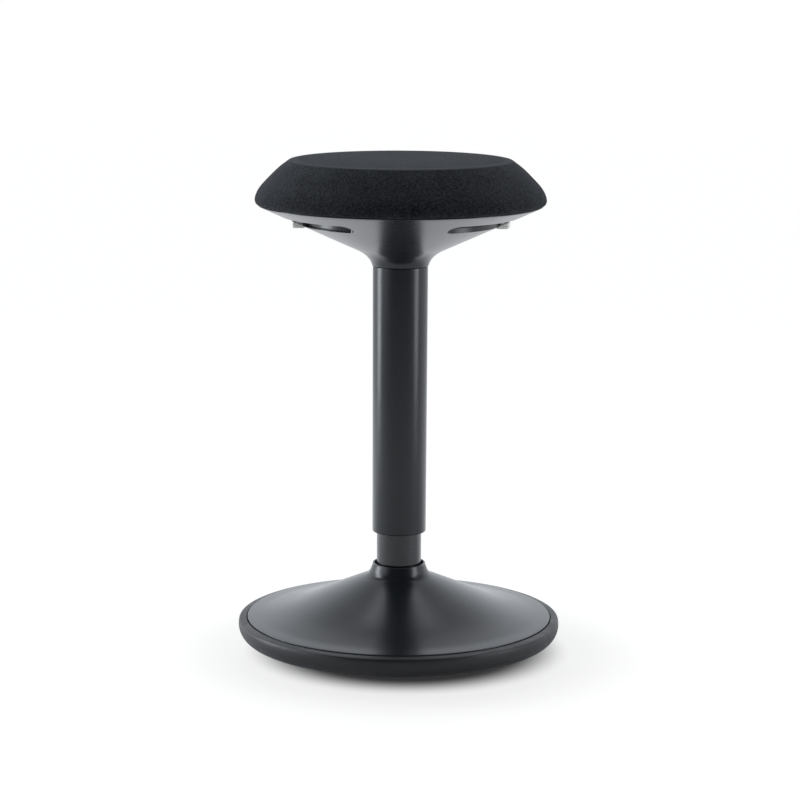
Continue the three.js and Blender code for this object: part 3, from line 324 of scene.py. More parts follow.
def smooth(piece: Piece, angle: float = SMOOTH_ANGLE) -> None:
    """Shades a piece smooth where its faces meet under an angle."""
    pick(piece)
    bpy.ops.object.shade_smooth_by_angle(angle=angle)


def turned(
    name: str, section: Sequence[Point], sides: int = SHELL_SIDES, closed: bool = True
) -> Piece:
    """Draws a section by extruding a vertex and spins it about the stool's axis.

    Args:
        name: name of the piece.
        section: radius and level of each point, in millimetres.
        sides: facets round the axis.
        closed: whether the section's last point joins its first.

    Returns:
        The turned piece.
    """
    deselect()
    bpy.ops.mesh.primitive_plane_add(size=MM)
    piece = added(name)
    places = [Vector((radius, 0.0, level)) * MM for radius, level in section]
    with editing(piece):
        bpy.ops.mesh.select_all(action="SELECT")
        bpy.ops.mesh.merge(type="CENTER")
        bpy.ops.transform.translate(value=places[0])
        for here, following in zip(places, places[1:]):
            step = {"value": following - here}
            bpy.ops.mesh.extrude_vertices_move(TRANSFORM_OT_translate=step)
        if closed:
            mesh = bmesh.from_edit_mesh(piece.data)
            first = min(mesh.verts, key=lambda vert: (vert.co - places[0]).length)
            first.select_set(True)
            bpy.ops.mesh.edge_face_add()
        bpy.ops.mesh.select_all(action="SELECT")
        bpy.ops.mesh.spin(
            steps=sides, angle=math.tau, use_auto_merge=True, center=(0, 0, 0), axis=(0, 0, 1)
        )
    tidy(piece)
    return piece


def block(name: str, run: Point, half: float, levels: Point) -> Piece:
    """Adds a cube and brings its faces to a box that is as wide either side of Y 0.

    Args:
        name: name of the piece.
        run: where it starts and ends along X, in millimetres.
        half: half its width, in millimetres.
        levels: its bottom and top, in millimetres.

    Returns:
        The block.
    """
    low, high = (Vector(corner) * MM for corner in zip(run, (-half, half), levels))
    deselect()
    bpy.ops.mesh.primitive_cube_add(size=1, location=(low + high) / 2)
    bpy.ops.transform.resize(value=high - low)
    return added(name)


def peg(
    name: str, radius: float, start: Sequence[float], end: Sequence[float], sides: int = SMALL_SIDES
) -> Piece:
    """Adds a cylinder between two points.

    Args:
        name: name of the piece.
        radius: radius, in millimetres.
        start: middle of one end, in millimetres.
        end: middle of the other end, in millimetres.
        sides: facets round it.

    Returns:
        The cylinder.
    """
    foot, head = Vector(start) * MM, Vector(end) * MM
    axis = head - foot
    deselect()
    bpy.ops.mesh.primitive_cylinder_add(
        vertices=sides,
        radius=radius * MM,
        depth=axis.length,
        location=(foot + head) / 2,
        rotation=axis.to_track_quat("Z", "Y").to_euler(),
    )
    return added(name)


def copied(piece: Piece, name: str, turn: float) -> Piece:
    """Copies a piece with a mesh of its own and turns the copy about the stool's axis.

    Args:
        piece: piece to copy.
        name: name of the copy.
        turn: angle in radians.

    Returns:
        The copy.
    """
    pick(piece)
    bpy.ops.object.duplicate(linked=False)
    twin = added(name)
    twin.data.transform(Matrix.Rotation(turn, 4, "Z"))
    return twin


def gathered(pieces: Sequence[Piece]) -> Piece:
    """Makes one object of pieces that keep clear of each other.

    Args:
        pieces: closed meshes, the first of which is kept.

    Returns:
        The first piece, with the others in it.
    """
    deselect()
    for piece in pieces:
        piece.select_set(True)
    bpy.context.view_layer.objects.active = pieces[0]
    bpy.ops.object.join()
    return pieces[0]


def around(piece: Piece, count: int, start: float = 0.0) -> Piece:
    """Repeats a piece about the stool's axis.

    Args:
        piece: piece to repeat, which is used up.
        count: number of copies.
        start: angle of the first copy, in radians.

    Returns:
        One object with all the copies.
    """
    turns = (start + math.tau * index / count for index in range(count))
    copies = [copied(piece, f"{piece.name}_{index}", turn) for index, turn in enumerate(turns)]
    bpy.data.objects.remove(piece, do_unlink=True)
    return gathered(copies)


def combine(piece: Piece, tools: Sequence[Piece], how: Merge) -> None:
    """Joins a piece with tools or cuts them out of it, and uses them up.

    Args:
        piece: piece that is kept.
        tools: closed meshes.
        how: what is done with each tool.
    """
    for tool in tools:
        modifier = piece.modifiers.new(how.name, "BOOLEAN")
        modifier.operation = how.value
        modifier.solver = "EXACT"
        modifier.object = tool
        apply_all(piece)
        bpy.data.objects.remove(tool, do_unlink=True)


def sliced(piece: Piece, point: Sequence[float], outwards: Sequence[float]) -> None:
    """Cuts away what lies beyond a plane and closes the cut.

    Args:
        piece: closed mesh.
        point: a point of the plane, in millimetres.
        outwards: direction of the side that goes.
    """
    with editing(piece):
        bpy.ops.mesh.select_all(action="SELECT")
        bpy.ops.mesh.bisect(
            plane_co=Vector(point) * MM, plane_no=outwards, use_fill=True, clear_outer=True
        )
    tidy(piece)


def sector(piece: Piece, half_angle: float) -> None:
    """Keeps what lies within an angle of the +X direction.

    Args:
        piece: closed mesh round the stool's axis.
        half_angle: angle either side of +X, in radians.
    """
    side, ahead = math.cos(half_angle), math.sin(half_angle)
    sliced(piece, (0, 0, 0), (-ahead, side, 0))
    sliced(piece, (0, 0, 0), (-ahead, -side, 0))


def edged(piece: Piece, width: float, angle: float = 40.0, segments: int = 2) -> None:
    """Rounds the sharp edges of a piece.

    Args:
        piece: closed mesh.
        width: width of the rounding, in millimetres.
        angle: edges that turn more than this are rounded, in degrees.
        segments: faces across the rounding.
    """
    bevel = piece.modifiers.new("edges", "BEVEL")
    bevel.width = width * MM
    bevel.segments = segments
    bevel.limit_method = "ANGLE"
    bevel.angle_limit = math.radians(angle)
    bevel.use_clamp_overlap = True
    apply_all(piece)


# Materials

Socket = bpy.types.NodeSocket
Sockets = dict[str, Socket]
MIX_SHARE, MIX_FIRST, MIX_SECOND, MIX_RESULT = 0, 6, 7, 2  # sockets of the Mix node for colours
DUST_COLOUR = (0.32, 0.31, 0.29)


def named(sockets: Iterable[Socket]) -> Sockets:
    """Lists sockets by their names."""
    return {socket.name: socket for socket in sockets}


def shaded(colour: Colour, share: float) -> Colour:
    """Makes a colour lighter or darker by a factor."""
    return tuple(min(1.0, channel * share) for channel in colour)


class Board:
    """A node tree that is being wired."""

    def __init__(self, tree: bpy.types.NodeTree) -> None:
        """Takes an empty tree."""
        self.tree = tree

    def node(
        self, kind: str, inputs: dict[str | int, object] | None = None, **settings: object
    ) -> bpy.types.Node:
        """Adds a node.

        Args:
            kind: type name of the node.
            inputs: what goes into its inputs, by their names or numbers.
            settings: properties of the node.

        Returns:
            The node.
        """
        made = self.tree.nodes.new(kind)
        for name, value in settings.items():
            setattr(made, name, value)
        for key, value in (inputs or {}).items():
            self.feed(made.inputs[key], value)
        return made

    def feed(self, target: Socket, value: object) -> None:
        """Links a socket to an input, or sets the input to a plain value.

        Args:
            target: input socket.
            value: output socket, number, colour or vector.
        """
        if isinstance(value, Socket):
            self.tree.links.new(value, target)
        else:
            target.default_value = value

    def calc(self, operation: str, *terms: object) -> Socket:
        """Works out a number from sockets and numbers by an operation of the Math node."""
        return self.node("ShaderNodeMath", dict(enumerate(terms)), operation=operation).outputs[0]

    plus = partialmethod(calc, "ADD")
    minus = partialmethod(calc, "SUBTRACT")
    times = partialmethod(calc, "MULTIPLY")
    over = partialmethod(calc, "DIVIDE")

    def length(self, x: Socket, y: Socket) -> Socket:
        """Works out how long a level vector is."""
        return self.calc("SQRT", self.plus(self.times(x, x), self.times(y, y)))

    def between(
        self, value: Socket, low: float, high: float, start: float = 0.0, end: float = 1.0
    ) -> Socket:
        """Maps a number from one range to another with soft ends and holds it there.

        Args:
            value: socket to map.
            low: value that gives start.
            high: value that gives end.
            start: result at low.
            end: result at high.

        Returns:
            The mapped number.
        """
        ranges = {"From Min": low, "From Max": high, "To Min": start, "To Max": end}
        made = self.node(
            "ShaderNodeMapRange", {"Value": value, **ranges}, interpolation_type="SMOOTHSTEP", clamp=True
        )
        return made.outputs["Result"]

    def tint(self, share: Socket, first: Colour | Socket, second: Colour | Socket) -> Socket:
        """Mixes two colours.

        Args:
            share: share of the second, 0 to 1.
            first: colour or socket.
            second: colour or socket.

        Returns:
            The mixed colour.
        """
        ends = [end if isinstance(end, Socket) else (*end, 1.0) for end in (first, second)]
        inputs = {MIX_SHARE: share, MIX_FIRST: ends[0], MIX_SECOND: ends[1]}
        return self.node("ShaderNodeMix", inputs, data_type="RGBA").outputs[MIX_RESULT]

    def noise(
        self, vector: Socket, scale: float | Socket, detail: float = 2.0, roughness: float = 0.5
    ) -> Socket:
        """Adds a noise over coordinates in metres.

        Args:
            vector: coordinates.
            scale: cells to the metre.
            detail: octaves.
            roughness: weight of the fine octaves.

        Returns:
            The noise, about 0.5.
        """
        inputs = {"Vector": vector, "Scale": scale, "Detail": detail, "Roughness": roughness}
        return self.node("ShaderNodeTexNoise", inputs, noise_dimensions="3D").outputs["Fac"]

    def parts(self, vector: Socket) -> tuple[Socket, ...]:
        """Splits a vector into its three numbers."""
        return tuple(self.node("ShaderNodeSeparateXYZ", {0: vector}).outputs)

    def vector(self, *terms: object) -> Socket:
        """Makes a vector of three numbers."""
        return self.node("ShaderNodeCombineXYZ", dict(enumerate(terms))).outputs[0]


@dataclass(frozen=True)
class Pattern:
    """A pattern that finishes share as one shader node group."""

    name: str
    wiring: Callable[[Board, Sockets], Sockets]
    pitched: bool = True

    @cache
    def tree(self) -> bpy.types.NodeTree:
        """Builds the group when it is first asked for.

        Returns:
            The group, which takes coordinates and, where pitched, a pitch in metres.
        """
        tree = bpy.data.node_groups.new(self.name, "ShaderNodeTree")
        tree.interface.new_socket(name="Vector", in_out="INPUT", socket_type="NodeSocketVector")
        if self.pitched:
            tree.interface.new_socket(name="Pitch", in_out="INPUT", socket_type="NodeSocketFloat")
        board = Board(tree)
        results = self.wiring(board, named(board.node("NodeGroupInput").outputs))
        for label in results:
            tree.interface.new_socket(name=label, in_out="OUTPUT", socket_type="NodeSocketFloat")
        board.node("NodeGroupOutput", results)
        return tree


def wire_mould_grain(board: Board, given: Sockets) -> Sockets:
    """Wires the fine eroded grain of a mould: pits of one pitch with finer ones between.

    Args:
        board: inside of the group.
        given: the coordinates and the pitch.

    Returns:
        The height and a tone about 0.5.
    """
    scale = board.over(1.0, given["Pitch"])
    coarse = board.noise(given["Vector"], scale, detail=1.0)
    fine = board.noise(given["Vector"], board.times(scale, 2.7), detail=1.0)
    height = board.plus(board.times(coarse, 0.7), board.times(fine, 0.3))
    return {"Height": height, "Tone": board.between(height, 0.35, 0.65)}


def wire_handling(board: Board, given: Sockets) -> Sockets:
    """Wires the marks of use: broad smears of grease, and thin dust that gathers in patches.

    Args:
        board: inside of the group.
        given: the coordinates.

    Returns:
        The smear and the dust, both 0 to 1.
    """
    vector = given["Vector"]
    broad = board.noise(vector, 14.0, detail=3.0, roughness=0.55)
    streak = board.noise(vector, 85.0, roughness=0.6)
    smear = board.plus(board.times(broad, 0.75), board.times(streak, 0.25))
    patch = board.between(board.noise(vector, 9.0), 0.45, 0.7)
    speck = board.between(board.noise(vector, 1900.0, detail=1.0), 0.66, 0.74)
    return {"Smear": board.between(smear, 0.38, 0.64), "Dust": board.times(patch, speck)}


def wire_turning(board: Board, given: Sockets) -> Sockets:
    """Wires the fine rings that a lathe or a draw die leaves round the Z axis.

    Args:
        board: inside of the group.
        given: the coordinates and the pitch.

    Returns:
        The height about 0.5.
    """
    x, y, z = board.parts(given["Vector"])
    slow = board.times(board.plus(x, y), 0.01)
    place = board.vector(board.length(x, y), slow, z)
    return {"Height": board.noise(place, board.over(1.0, given["Pitch"]), roughness=0.6)}


def wire_knit(board: Board, given: Sockets) -> Sockets:
    """Wires a fine knit: columns of V-shaped stitches with a loose, slightly uneven yarn.

    Args:
        board: inside of the group.
        given: cloth coordinates and the pitch of a stitch.

    Returns:
        The height and the tone of each stitch.
    """
    vector = given["Vector"]
    scale = board.over(1.0, given["Pitch"])
    drift = board.times(board.minus(board.noise(vector, 220.0), 0.5), 0.5)
    x, y, _ = board.parts(vector)
    column = board.plus(board.times(x, scale), drift)
    row = board.plus(board.times(y, scale), drift)
    leg = board.calc("PINGPONG", column, 0.5)
    slant = board.plus(row, board.times(leg, 1.3))
    bead = board.calc("ABSOLUTE", board.calc("SINE", board.times(slant, math.pi)))
    ridge = board.calc("SINE", board.times(leg, math.tau))
    height = board.times(board.calc("POWER", bead, 0.7), board.plus(ridge, 0.35))
    fibre = board.noise(vector, board.times(scale, 3.1), roughness=0.7)
    stitch = board.vector(board.calc("FLOOR", column), board.calc("FLOOR", slant), 0.0)
    cell = board.node("ShaderNodeTexWhiteNoise", {"Vector": stitch}, noise_dimensions="2D")
    return {"Height": board.calc("MULTIPLY_ADD", fibre, 0.35, height), "Tone": cell.outputs["Value"]}


MOULD_GRAIN = Pattern("mould_grain", wire_mould_grain)
HANDLING = Pattern("handling", wire_handling, pitched=False)
TURNING = Pattern("turning", wire_turning)
KNIT = Pattern("knit", wire_knit)


class Surface:
    """A material with its Principled shader and the coordinates it reads."""

    def __init__(self, name: str) -> None:
        """Makes an empty material.

        Args:
            name: name of the material.
        """
        self.material = bpy.data.materials.new(name)
        self.material.use_nodes = True
        tree = self.material.node_tree
        tree.nodes.clear()
        self.board = Board(tree)
        self.shader = self.board.node("ShaderNodeBsdfPrincipled")
        self.board.node("ShaderNodeOutputMaterial", {"Surface": self.shader.outputs[0]})
        self.place = self.board.node("ShaderNodeTexCoord").outputs["Object"]

    def set(self, **values: object) -> None:
        """Feeds inputs of the shader, with underscores for the spaces of their names."""
        for name, value in values.items():
            self.board.feed(self.shader.inputs[name.replace("_", " ")], value)

    def group(self, pattern: Pattern, **values: object) -> Sockets:
        """Places a shared pattern.

        Args:
            pattern: the pattern.
            values: inputs by name; the vector is the object's place unless given.

        Returns:
            The group's outputs by name.
        """
        inputs = {"Vector": self.place, **values}
        return named(self.board.node("ShaderNodeGroup", inputs, node_tree=pattern.tree()).outputs)

    def bump(self, height: Socket, depth: float, strength: float = 1.0) -> None:
        """Raises the surface.

        Args:
            height: height, 0 to 1.
            depth: depth of height 1, in millimetres.
            strength: share of the effect.
        """
        inputs = {"Height": height, "Distance": depth * MM, "Strength": strength}
        self.set(Normal=self.board.node("ShaderNodeBump", inputs).outputs[0])


class Finish(ABC):
    """A procedural finish."""

    @abstractmethod
    def wire(self, surface: Surface) -> None:
        """Wires the shader of a new surface."""

    def material(self, name: str) -> bpy.types.Material:
        """Builds the material.

        Args:
            name: name of the material.

        Returns:
            The material.
        """
        surface = Surface(name)
        self.wire(surface)
        return surface.material


@dataclass(frozen=True)
class Moulding(Finish):
    """Moulded plastic or rubber with its eroded grain, faint smears and thin dust."""

    colour: Colour
    roughness: float
    grain_pitch: float = 0.7  # mm
    grain_depth: float = 0.012  # mm
    smear: float = 0.05  # change of roughness
    dust: float = 0.05  # share of dust colour where it lies
    specular: float = 0.5
    mottle: float = 0.15  # how much lighter the grain's tops are

    def wire(self, surface: Surface) -> None:
        """Wires grain, smears and dust.

        Args:
            surface: surface to wire.
        """
        board = surface.board
        grain = surface.group(MOULD_GRAIN, Pitch=self.grain_pitch * MM)
        marks = surface.group(HANDLING)
        body = board.tint(grain["Tone"], self.colour, shaded(self.colour, 1 + self.mottle))
        low, high = self.roughness - self.smear, self.roughness + self.smear
        surface.set(
            Base_Color=board.tint(board.times(marks["Dust"], self.dust), body, DUST_COLOUR),
            Roughness=board.between(marks["Smear"], 0.0, 1.0, low, high),
            Specular_IOR_Level=self.specular,
        )
        surface.bump(grain["Height"], self.grain_depth)


@dataclass(frozen=True)
class PaintedSteel(Finish):
    """Steel under a smooth black coat with a shallow orange peel."""

    colour: Colour
    roughness: float = 0.3
    specular: float = 0.5
    peel_pitch: float = 2.2  # mm
    peel_depth: float = 0.003  # mm
    smear: float = 0.03  # change of roughness
    mottle: float = 0.3  # how much lighter the smears are

    def wire(self, surface: Surface) -> None:
        """Wires peel and smears.

        Args:
            surface: surface to wire.
        """
        smear = surface.group(HANDLING)["Smear"]
        low, high = self.roughness, self.roughness + self.smear
        surface.set(
            Base_Color=surface.board.tint(smear, self.colour, shaded(self.colour, 1 + self.mottle)),
            Roughness=surface.board.between(smear, 0.0, 1.0, low, high),
            Specular_IOR_Level=self.specular,
        )
        peel = surface.group(MOULD_GRAIN, Pitch=self.peel_pitch * MM)
        surface.bump(peel["Height"], self.peel_depth)


class Working(Enum):
    """How a bare metal piece was finished: its pattern, with pitch and depth in millimetres."""

    TURNED = (TURNING, 0.35, 0.004)
    PLATED = (MOULD_GRAIN, 1.1, 0.006)
    CAST = (MOULD_GRAIN, 1.6, 0.12)


@dataclass(frozen=True)
class BareMetal(Finish):
    """Metal that shows: turned with fine rings, plated, or as cast."""

    colour: Colour
    roughness: float
    working: Working
    metallic: float = 1.0
    dulled: float = 0.72  # brightness left under a smear
    smear: float = 0.14  # change of roughness

    def wire(self, surface: Surface) -> None:
        """Wires the marks of working and smears.

        Args:
            surface: surface to wire.
        """
        pattern, pitch, depth = self.working.value
        relief = surface.group(pattern, Pitch=pitch * MM)
        smear = surface.group(HANDLING)["Smear"]
        low, high = self.roughness, self.roughness + self.smear
        surface.set(
            Base_Color=surface.board.tint(smear, self.colour, shaded(self.colour, self.dulled)),
            Roughness=surface.board.between(smear, 0.0, 1.0, low, high),
            Metallic=self.metallic,
        )
        surface.bump(relief["Height"], depth)


@dataclass(frozen=True)
class Plywood(Finish):
    """Birch plywood: pale faces with long grain, and plies with dark glue lines at the edge."""

    pale: Colour = (0.62, 0.45, 0.27)
    deep: Colour = (0.42, 0.27, 0.14)
    glue: Colour = (0.2, 0.11, 0.05)
    glue_share: float = 0.6
    ply: float = 1.5  # mm
    bottom: float = 516.6  # underside of the board, mm
    stretch: float = 0.08  # of the grain along X
    depth: float = 0.05  # mm

    def wire(self, surface: Surface) -> None:
        """Wires grain and glue lines.

        Args:
            surface: surface to wire.
        """
        board = surface.board
        x, y, z = board.parts(surface.place)
        layer = board.over(board.minus(z, self.bottom * MM), self.ply * MM)
        line = board.between(board.calc("PINGPONG", layer, 0.5), 0.03, 0.09, 1.0, 0.0)
        stretched = board.vector(board.times(x, self.stretch), y, board.times(z, 2.0))
        fibre = board.noise(stretched, 420.0, detail=4.0, roughness=0.6)
        figure = board.noise(stretched, 45.0)
        grain = board.calc("MULTIPLY_ADD", figure, 0.5, board.times(fibre, 0.5))
        wood = board.tint(board.between(grain, 0.36, 0.64), self.pale, self.deep)
        surface.set(
            Base_Color=board.tint(board.times(line, self.glue_share), wood, self.glue),
            Roughness=board.between(fibre, 0.3, 0.7, 0.55, 0.75),
        )
        surface.bump(fibre, self.depth)


@dataclass(frozen=True)
class OpenFoam(Finish):
    """Moulded foam with open cells under a thin skin."""

    colour: Colour = (0.68, 0.63, 0.48)
    cell: float = 1.4  # mm
    depth: float = 0.3  # mm
    cell_shade: float = 0.7  # painted shade: brightness left in the hollows of the cells
    roughness: float = 0.95

    def wire(self, surface: Surface) -> None:
        """Wires the cells, with painted shade in their hollows.

        Args:
            surface: surface to wire.
        """
        cells = surface.group(MOULD_GRAIN, Pitch=self.cell * MM)
        # Painted shade: the low parts of the cells are darker.
        colour = surface.board.tint(cells["Tone"], shaded(self.colour, self.cell_shade), self.colour)
        surface.set(Base_Color=colour, Roughness=self.roughness)
        surface.bump(cells["Height"], self.depth)


@dataclass(frozen=True)
class KnitCloth(Finish):
    """Near-black knitted upholstery with lighter loose fibre."""

    colour: Colour = (0.0025, 0.003, 0.0038)
    light: Colour = (0.035, 0.0385, 0.0445)
    pitch: float = 1.5  # mm
    depth: float = 0.22  # mm
    relief: float = 0.8  # share of the bump
    roughness: float = 0.85
    specular: float = 0.12
    sheen: float = 0.06
    sheen_roughness: float = 0.45
    sheen_tint: Colour = (0.9, 0.94, 1.0)
    uneven: float = 0.12  # share of the broad light patches
    crease_highlight_tone: float = 0.8  # tone of the highlight painted along the crease
    crease_highlight_from: Point = (0.11, 0.1215)  # the painted highlight grows between these, m from the middle
    crease_highlight_to: Point = (0.1225, 0.1245)  # and fades out again between these

    def wire(self, surface: Surface) -> None:
        """Wires stitches, light patches and the painted highlight along the crease.

        Args:
            surface: surface to wire.
        """
        board = surface.board
        place = board.node("ShaderNodeUVMap", uv_map=Cushion.CLOTH_MAP).outputs[0]
        stitches = surface.group(KNIT, Vector=place, Pitch=self.pitch * MM)
        stitch = board.times(stitches["Tone"], board.between(stitches["Height"], 0.2, 1.2))
        patches = board.between(board.noise(place, 30.0), 0.35, 0.65)
        # Painted highlight: the tone is lighter in a thin band round the crease, where light catches the
        # cloth.
        run = board.length(*board.parts(place)[:2])
        highlight_rise = board.between(run, *self.crease_highlight_from, 0.0, self.crease_highlight_tone)
        painted_crease_highlight = board.times(highlight_rise, board.between(run, *self.crease_highlight_to, 1.0, 0.0))
        tone = board.plus(board.calc("MULTIPLY_ADD", patches, self.uneven, stitch), painted_crease_highlight)
        surface.set(
            Base_Color=board.tint(tone, self.colour, self.light),
            Roughness=self.roughness,
            Sheen_Weight=self.sheen,
            Sheen_Roughness=self.sheen_roughness,
            Sheen_Tint=(*self.sheen_tint, 1.0),
            Specular_IOR_Level=self.specular,
        )
        surface.bump(stitches["Height"], self.depth, self.relief)


FINISHES = {
    Slot.SOLE_RUBBER: Moulding(
        (0.0185, 0.0188, 0.0195), 0.43,
        grain_pitch=1.2, grain_depth=0.004, mottle=0.06, dust=0.04, specular=0.42,
    ),
    Slot.SEAL_RUBBER: Moulding((0.03, 0.03, 0.031), 0.6),
    Slot.CHARCOAL_PLASTIC: Moulding(
        (0.0122, 0.0142, 0.0165), 0.26,
        grain_pitch=1.0, grain_depth=0.0015, mottle=0.03, smear=0.01, dust=0.01,
    ),
    Slot.LEVER_PLASTIC: Moulding((0.78, 0.77, 0.71), 0.34, grain_pitch=0.6, grain_depth=0.006),
    Slot.GLIDE_PLASTIC: Moulding((0.012, 0.012, 0.013), 0.5),
    Slot.GUIDE_PLASTIC: Moulding((0.66, 0.66, 0.62), 0.4),
    Slot.BLACK_STEEL: PaintedSteel((0.0075, 0.0078, 0.0085), 0.25, specular=0.75),
    Slot.BRIGHT_STEEL: BareMetal((0.6, 0.61, 0.63), 0.16, Working.TURNED),
    Slot.ZINC_STEEL: BareMetal((0.5, 0.52, 0.55), 0.34, Working.PLATED),
    Slot.WEIGHT_IRON: BareMetal((0.055, 0.055, 0.057), 0.62, Working.CAST, metallic=0.6),
    Slot.CAGE_BRASS: BareMetal((0.62, 0.44, 0.17), 0.3, Working.PLATED),
    Slot.PISTON_ALUMINIUM: BareMetal((0.62, 0.63, 0.65), 0.28, Working.TURNED),
    Slot.PLYWOOD: Plywood(),
    Slot.FOAM: OpenFoam(),
    Slot.SEAT_FABRIC: KnitCloth(),
}


@cache
def finish(slot: Slot) -> bpy.types.Material:
    """Gives the material of a slot, built the first time it is asked for."""
    return FINISHES[slot].material(f"{slot.value}_finish")


def seat_in_place(piece: Piece, body: Body, slot: Slot, *nodes: str) -> Piece:
    """Dresses a piece, puts it on its body and lets it stand for its nodes.

    Args:
        piece: finished mesh.
        body: body that it moves with.
        slot: its finish.
        nodes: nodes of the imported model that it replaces.

    Returns:
        The piece.
    """
    piece.data.materials.clear()
    piece.data.materials.append(finish(slot))
    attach(piece, body.value)
    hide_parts(*nodes)
    return piece


# Pieces


@dataclass
class Base:
    """Rocking base: the rubber sole with its ring, and the plastic cover in it."""

    foot_radius: float = 45.0
    rocker_radius: float = 510.0
    rocker_edge: float = 166.0
    ring_radius: float = 180.6
    widest_level: float = 41.48
    ridge: Corner = Corner(179.4, 47.6, 1.5)
    ring_inner_level: float = 49.1
    seam_level: float = 49.98
    cover_radius: float = 170.6
    seam_gap: float = 1.0
    ledge_level: float = 43.98
    pan_well: float = 164.3
    shoulder_inner: float = 143.0
    shoulder_level: float = 29.38
    pan_flat: float = 95.0
    floor_level: float = 11.88
    cover_rise: float = 48.2
    cover_wall: float = 3.0
    collar_foot_radius: float = 34.8
    collar_bore: float = 27.6
    collar_radius: float = 29.4
    collar_top: float = 110.58
    collar_land: float = 0.9  # upright stretch under the collar's rounded edge
    collar_waist: Point = (32.1, 4.13)  # point of the collar's curve, above the foot
    collar_tuck: float = 1.2
    flank: Sequence[Point] = ((180.45, 44.4), (180.0, 46.4))
    screw_circle: float = 152.0
    screw_count: int = 6
    boss_radius: float = 6.0
    boss_foot: float = 32.98
    pilot_radius: float = 2.3
    pilot_depth: float = 13.3
    sole_smooth: float = math.radians(25)
    curve_steps: int = 8
    curve_shares: Sequence[Point] = (
        (0.0, 1.0), (0.024, 0.958), (0.068, 0.905), (0.333, 0.581), (0.627, 0.234), (0.848, 0.062),
        (1.0, 0.0),
    )  # of the cover's outer face: share of its width and of its rise

    def rocker(self, radius: float) -> float:
        """Level of the rocker's underside at a radius."""
        return (radius**2 - self.foot_radius**2) / (2 * self.rocker_radius)

    def sole(self) -> Piece:
        """Builds the sole: flat foot, rocker, rolled ring and the groove that holds the cover.

        Returns:
            The sole.
        """
        steps = 12
        run = (self.rocker_edge - self.foot_radius) / steps
        radii = [self.foot_radius + run * step for step in range(1, steps + 1)]
        rocker = [Corner(radius, self.rocker(radius)) for radius in radii]
        widest = (self.ring_radius, self.widest_level)
        roll = quarter((rocker[-1].radius, rocker[-1].level), widest, steps)
        flank = flowing([widest, *self.flank], 4)[1:]
        seam = self.cover_radius + self.seam_gap
        corners = [
            Corner(0, 0), Corner(self.foot_radius, 0), *rocker, *roll, *flank, self.ridge,
            Corner(seam, self.ring_inner_level, 0.5), Corner(seam, self.ledge_level),
            Corner(self.pan_well, self.ledge_level), Corner(self.pan_well, self.shoulder_level),
            Corner(self.shoulder_inner, self.shoulder_level), Corner(self.pan_flat, self.floor_level),
            Corner(0, self.floor_level),
        ]
        piece = turned("sole", outline(corners), closed=False)
        smooth(piece, self.sole_smooth)
        return piece

    def curve(self, drop: float) -> list[Corner]:
        """Runs the cover's outer curve.

        Args:
            drop: how far below the outer face, in millimetres.

        Returns:
            Corners from the collar foot to the rim.
        """
        width = self.cover_radius - self.collar_foot_radius
        points = [
            (self.collar_foot_radius + width * out, self.seam_level + self.cover_rise * up - drop)
            for out, up in self.curve_shares
        ]
        return flowing(points, self.curve_steps)

    def cover(self) -> Piece:
        """Builds the cover: collar, sloping cone, turned-down edge and six screw bosses.

        Returns:
            The cover.
        """
        lip_inner = self.cover_radius - self.cover_wall
        foot = self.seam_level + self.cover_rise
        inside = [
            corner for corner in self.curve(self.cover_wall)
            if self.collar_foot_radius < corner.radius < lip_inner
        ]
        edge_level = self.ledge_level + FIT
        land = self.collar_top - self.collar_land
        waist = (self.collar_waist[0], foot + self.collar_waist[1])
        wall = flowing([(self.collar_radius, land), waist, (self.collar_foot_radius, foot)], 5)[:-1]
        corners = [
            Corner(self.collar_bore, land), Corner(self.collar_bore, self.collar_top, 0.8),
            Corner(self.collar_radius, self.collar_top, 0.8), *wall,
            *self.curve(0)[:-1], Corner(self.cover_radius, self.seam_level, 0.5),
            Corner(self.cover_radius, edge_level), Corner(lip_inner, edge_level),
            Corner(lip_inner, inside[-1].level - 0.1), *reversed(inside),
            Corner(self.collar_foot_radius - self.collar_tuck, foot - self.cover_wall),
            Corner(self.collar_bore, foot),
        ]
        piece = turned("cover", outline(corners))
        beyond = self.screw_circle + self.boss_radius
        roof = next(corner.level for corner in self.curve(0) if corner.radius > beyond)
        foot = self.boss_foot
        for name, radius, low, high, how in (
            ("boss", self.boss_radius, foot, roof - self.cover_wall / 2, Merge.JOIN),
            ("pilot", self.pilot_radius, foot - OVERRUN, foot + self.pilot_depth, Merge.CUT),
        ):
            tool = peg(name, radius, (self.screw_circle, 0, low), (self.screw_circle, 0, high))
            combine(piece, [around(tool, self.screw_count, math.pi / self.screw_count)], how)
        smooth(piece)
        return piece

    def build(self) -> list[Piece]:
        """Builds and dresses the base.

        Returns:
            Its new pieces.
        """
        return [
            seat_in_place(self.sole(), Body.BASE, Slot.SOLE_RUBBER, "rubber_sole"),
            seat_in_place(self.cover(), Body.BASE, Slot.CHARCOAL_PLASTIC, "base_cover"),
        ]


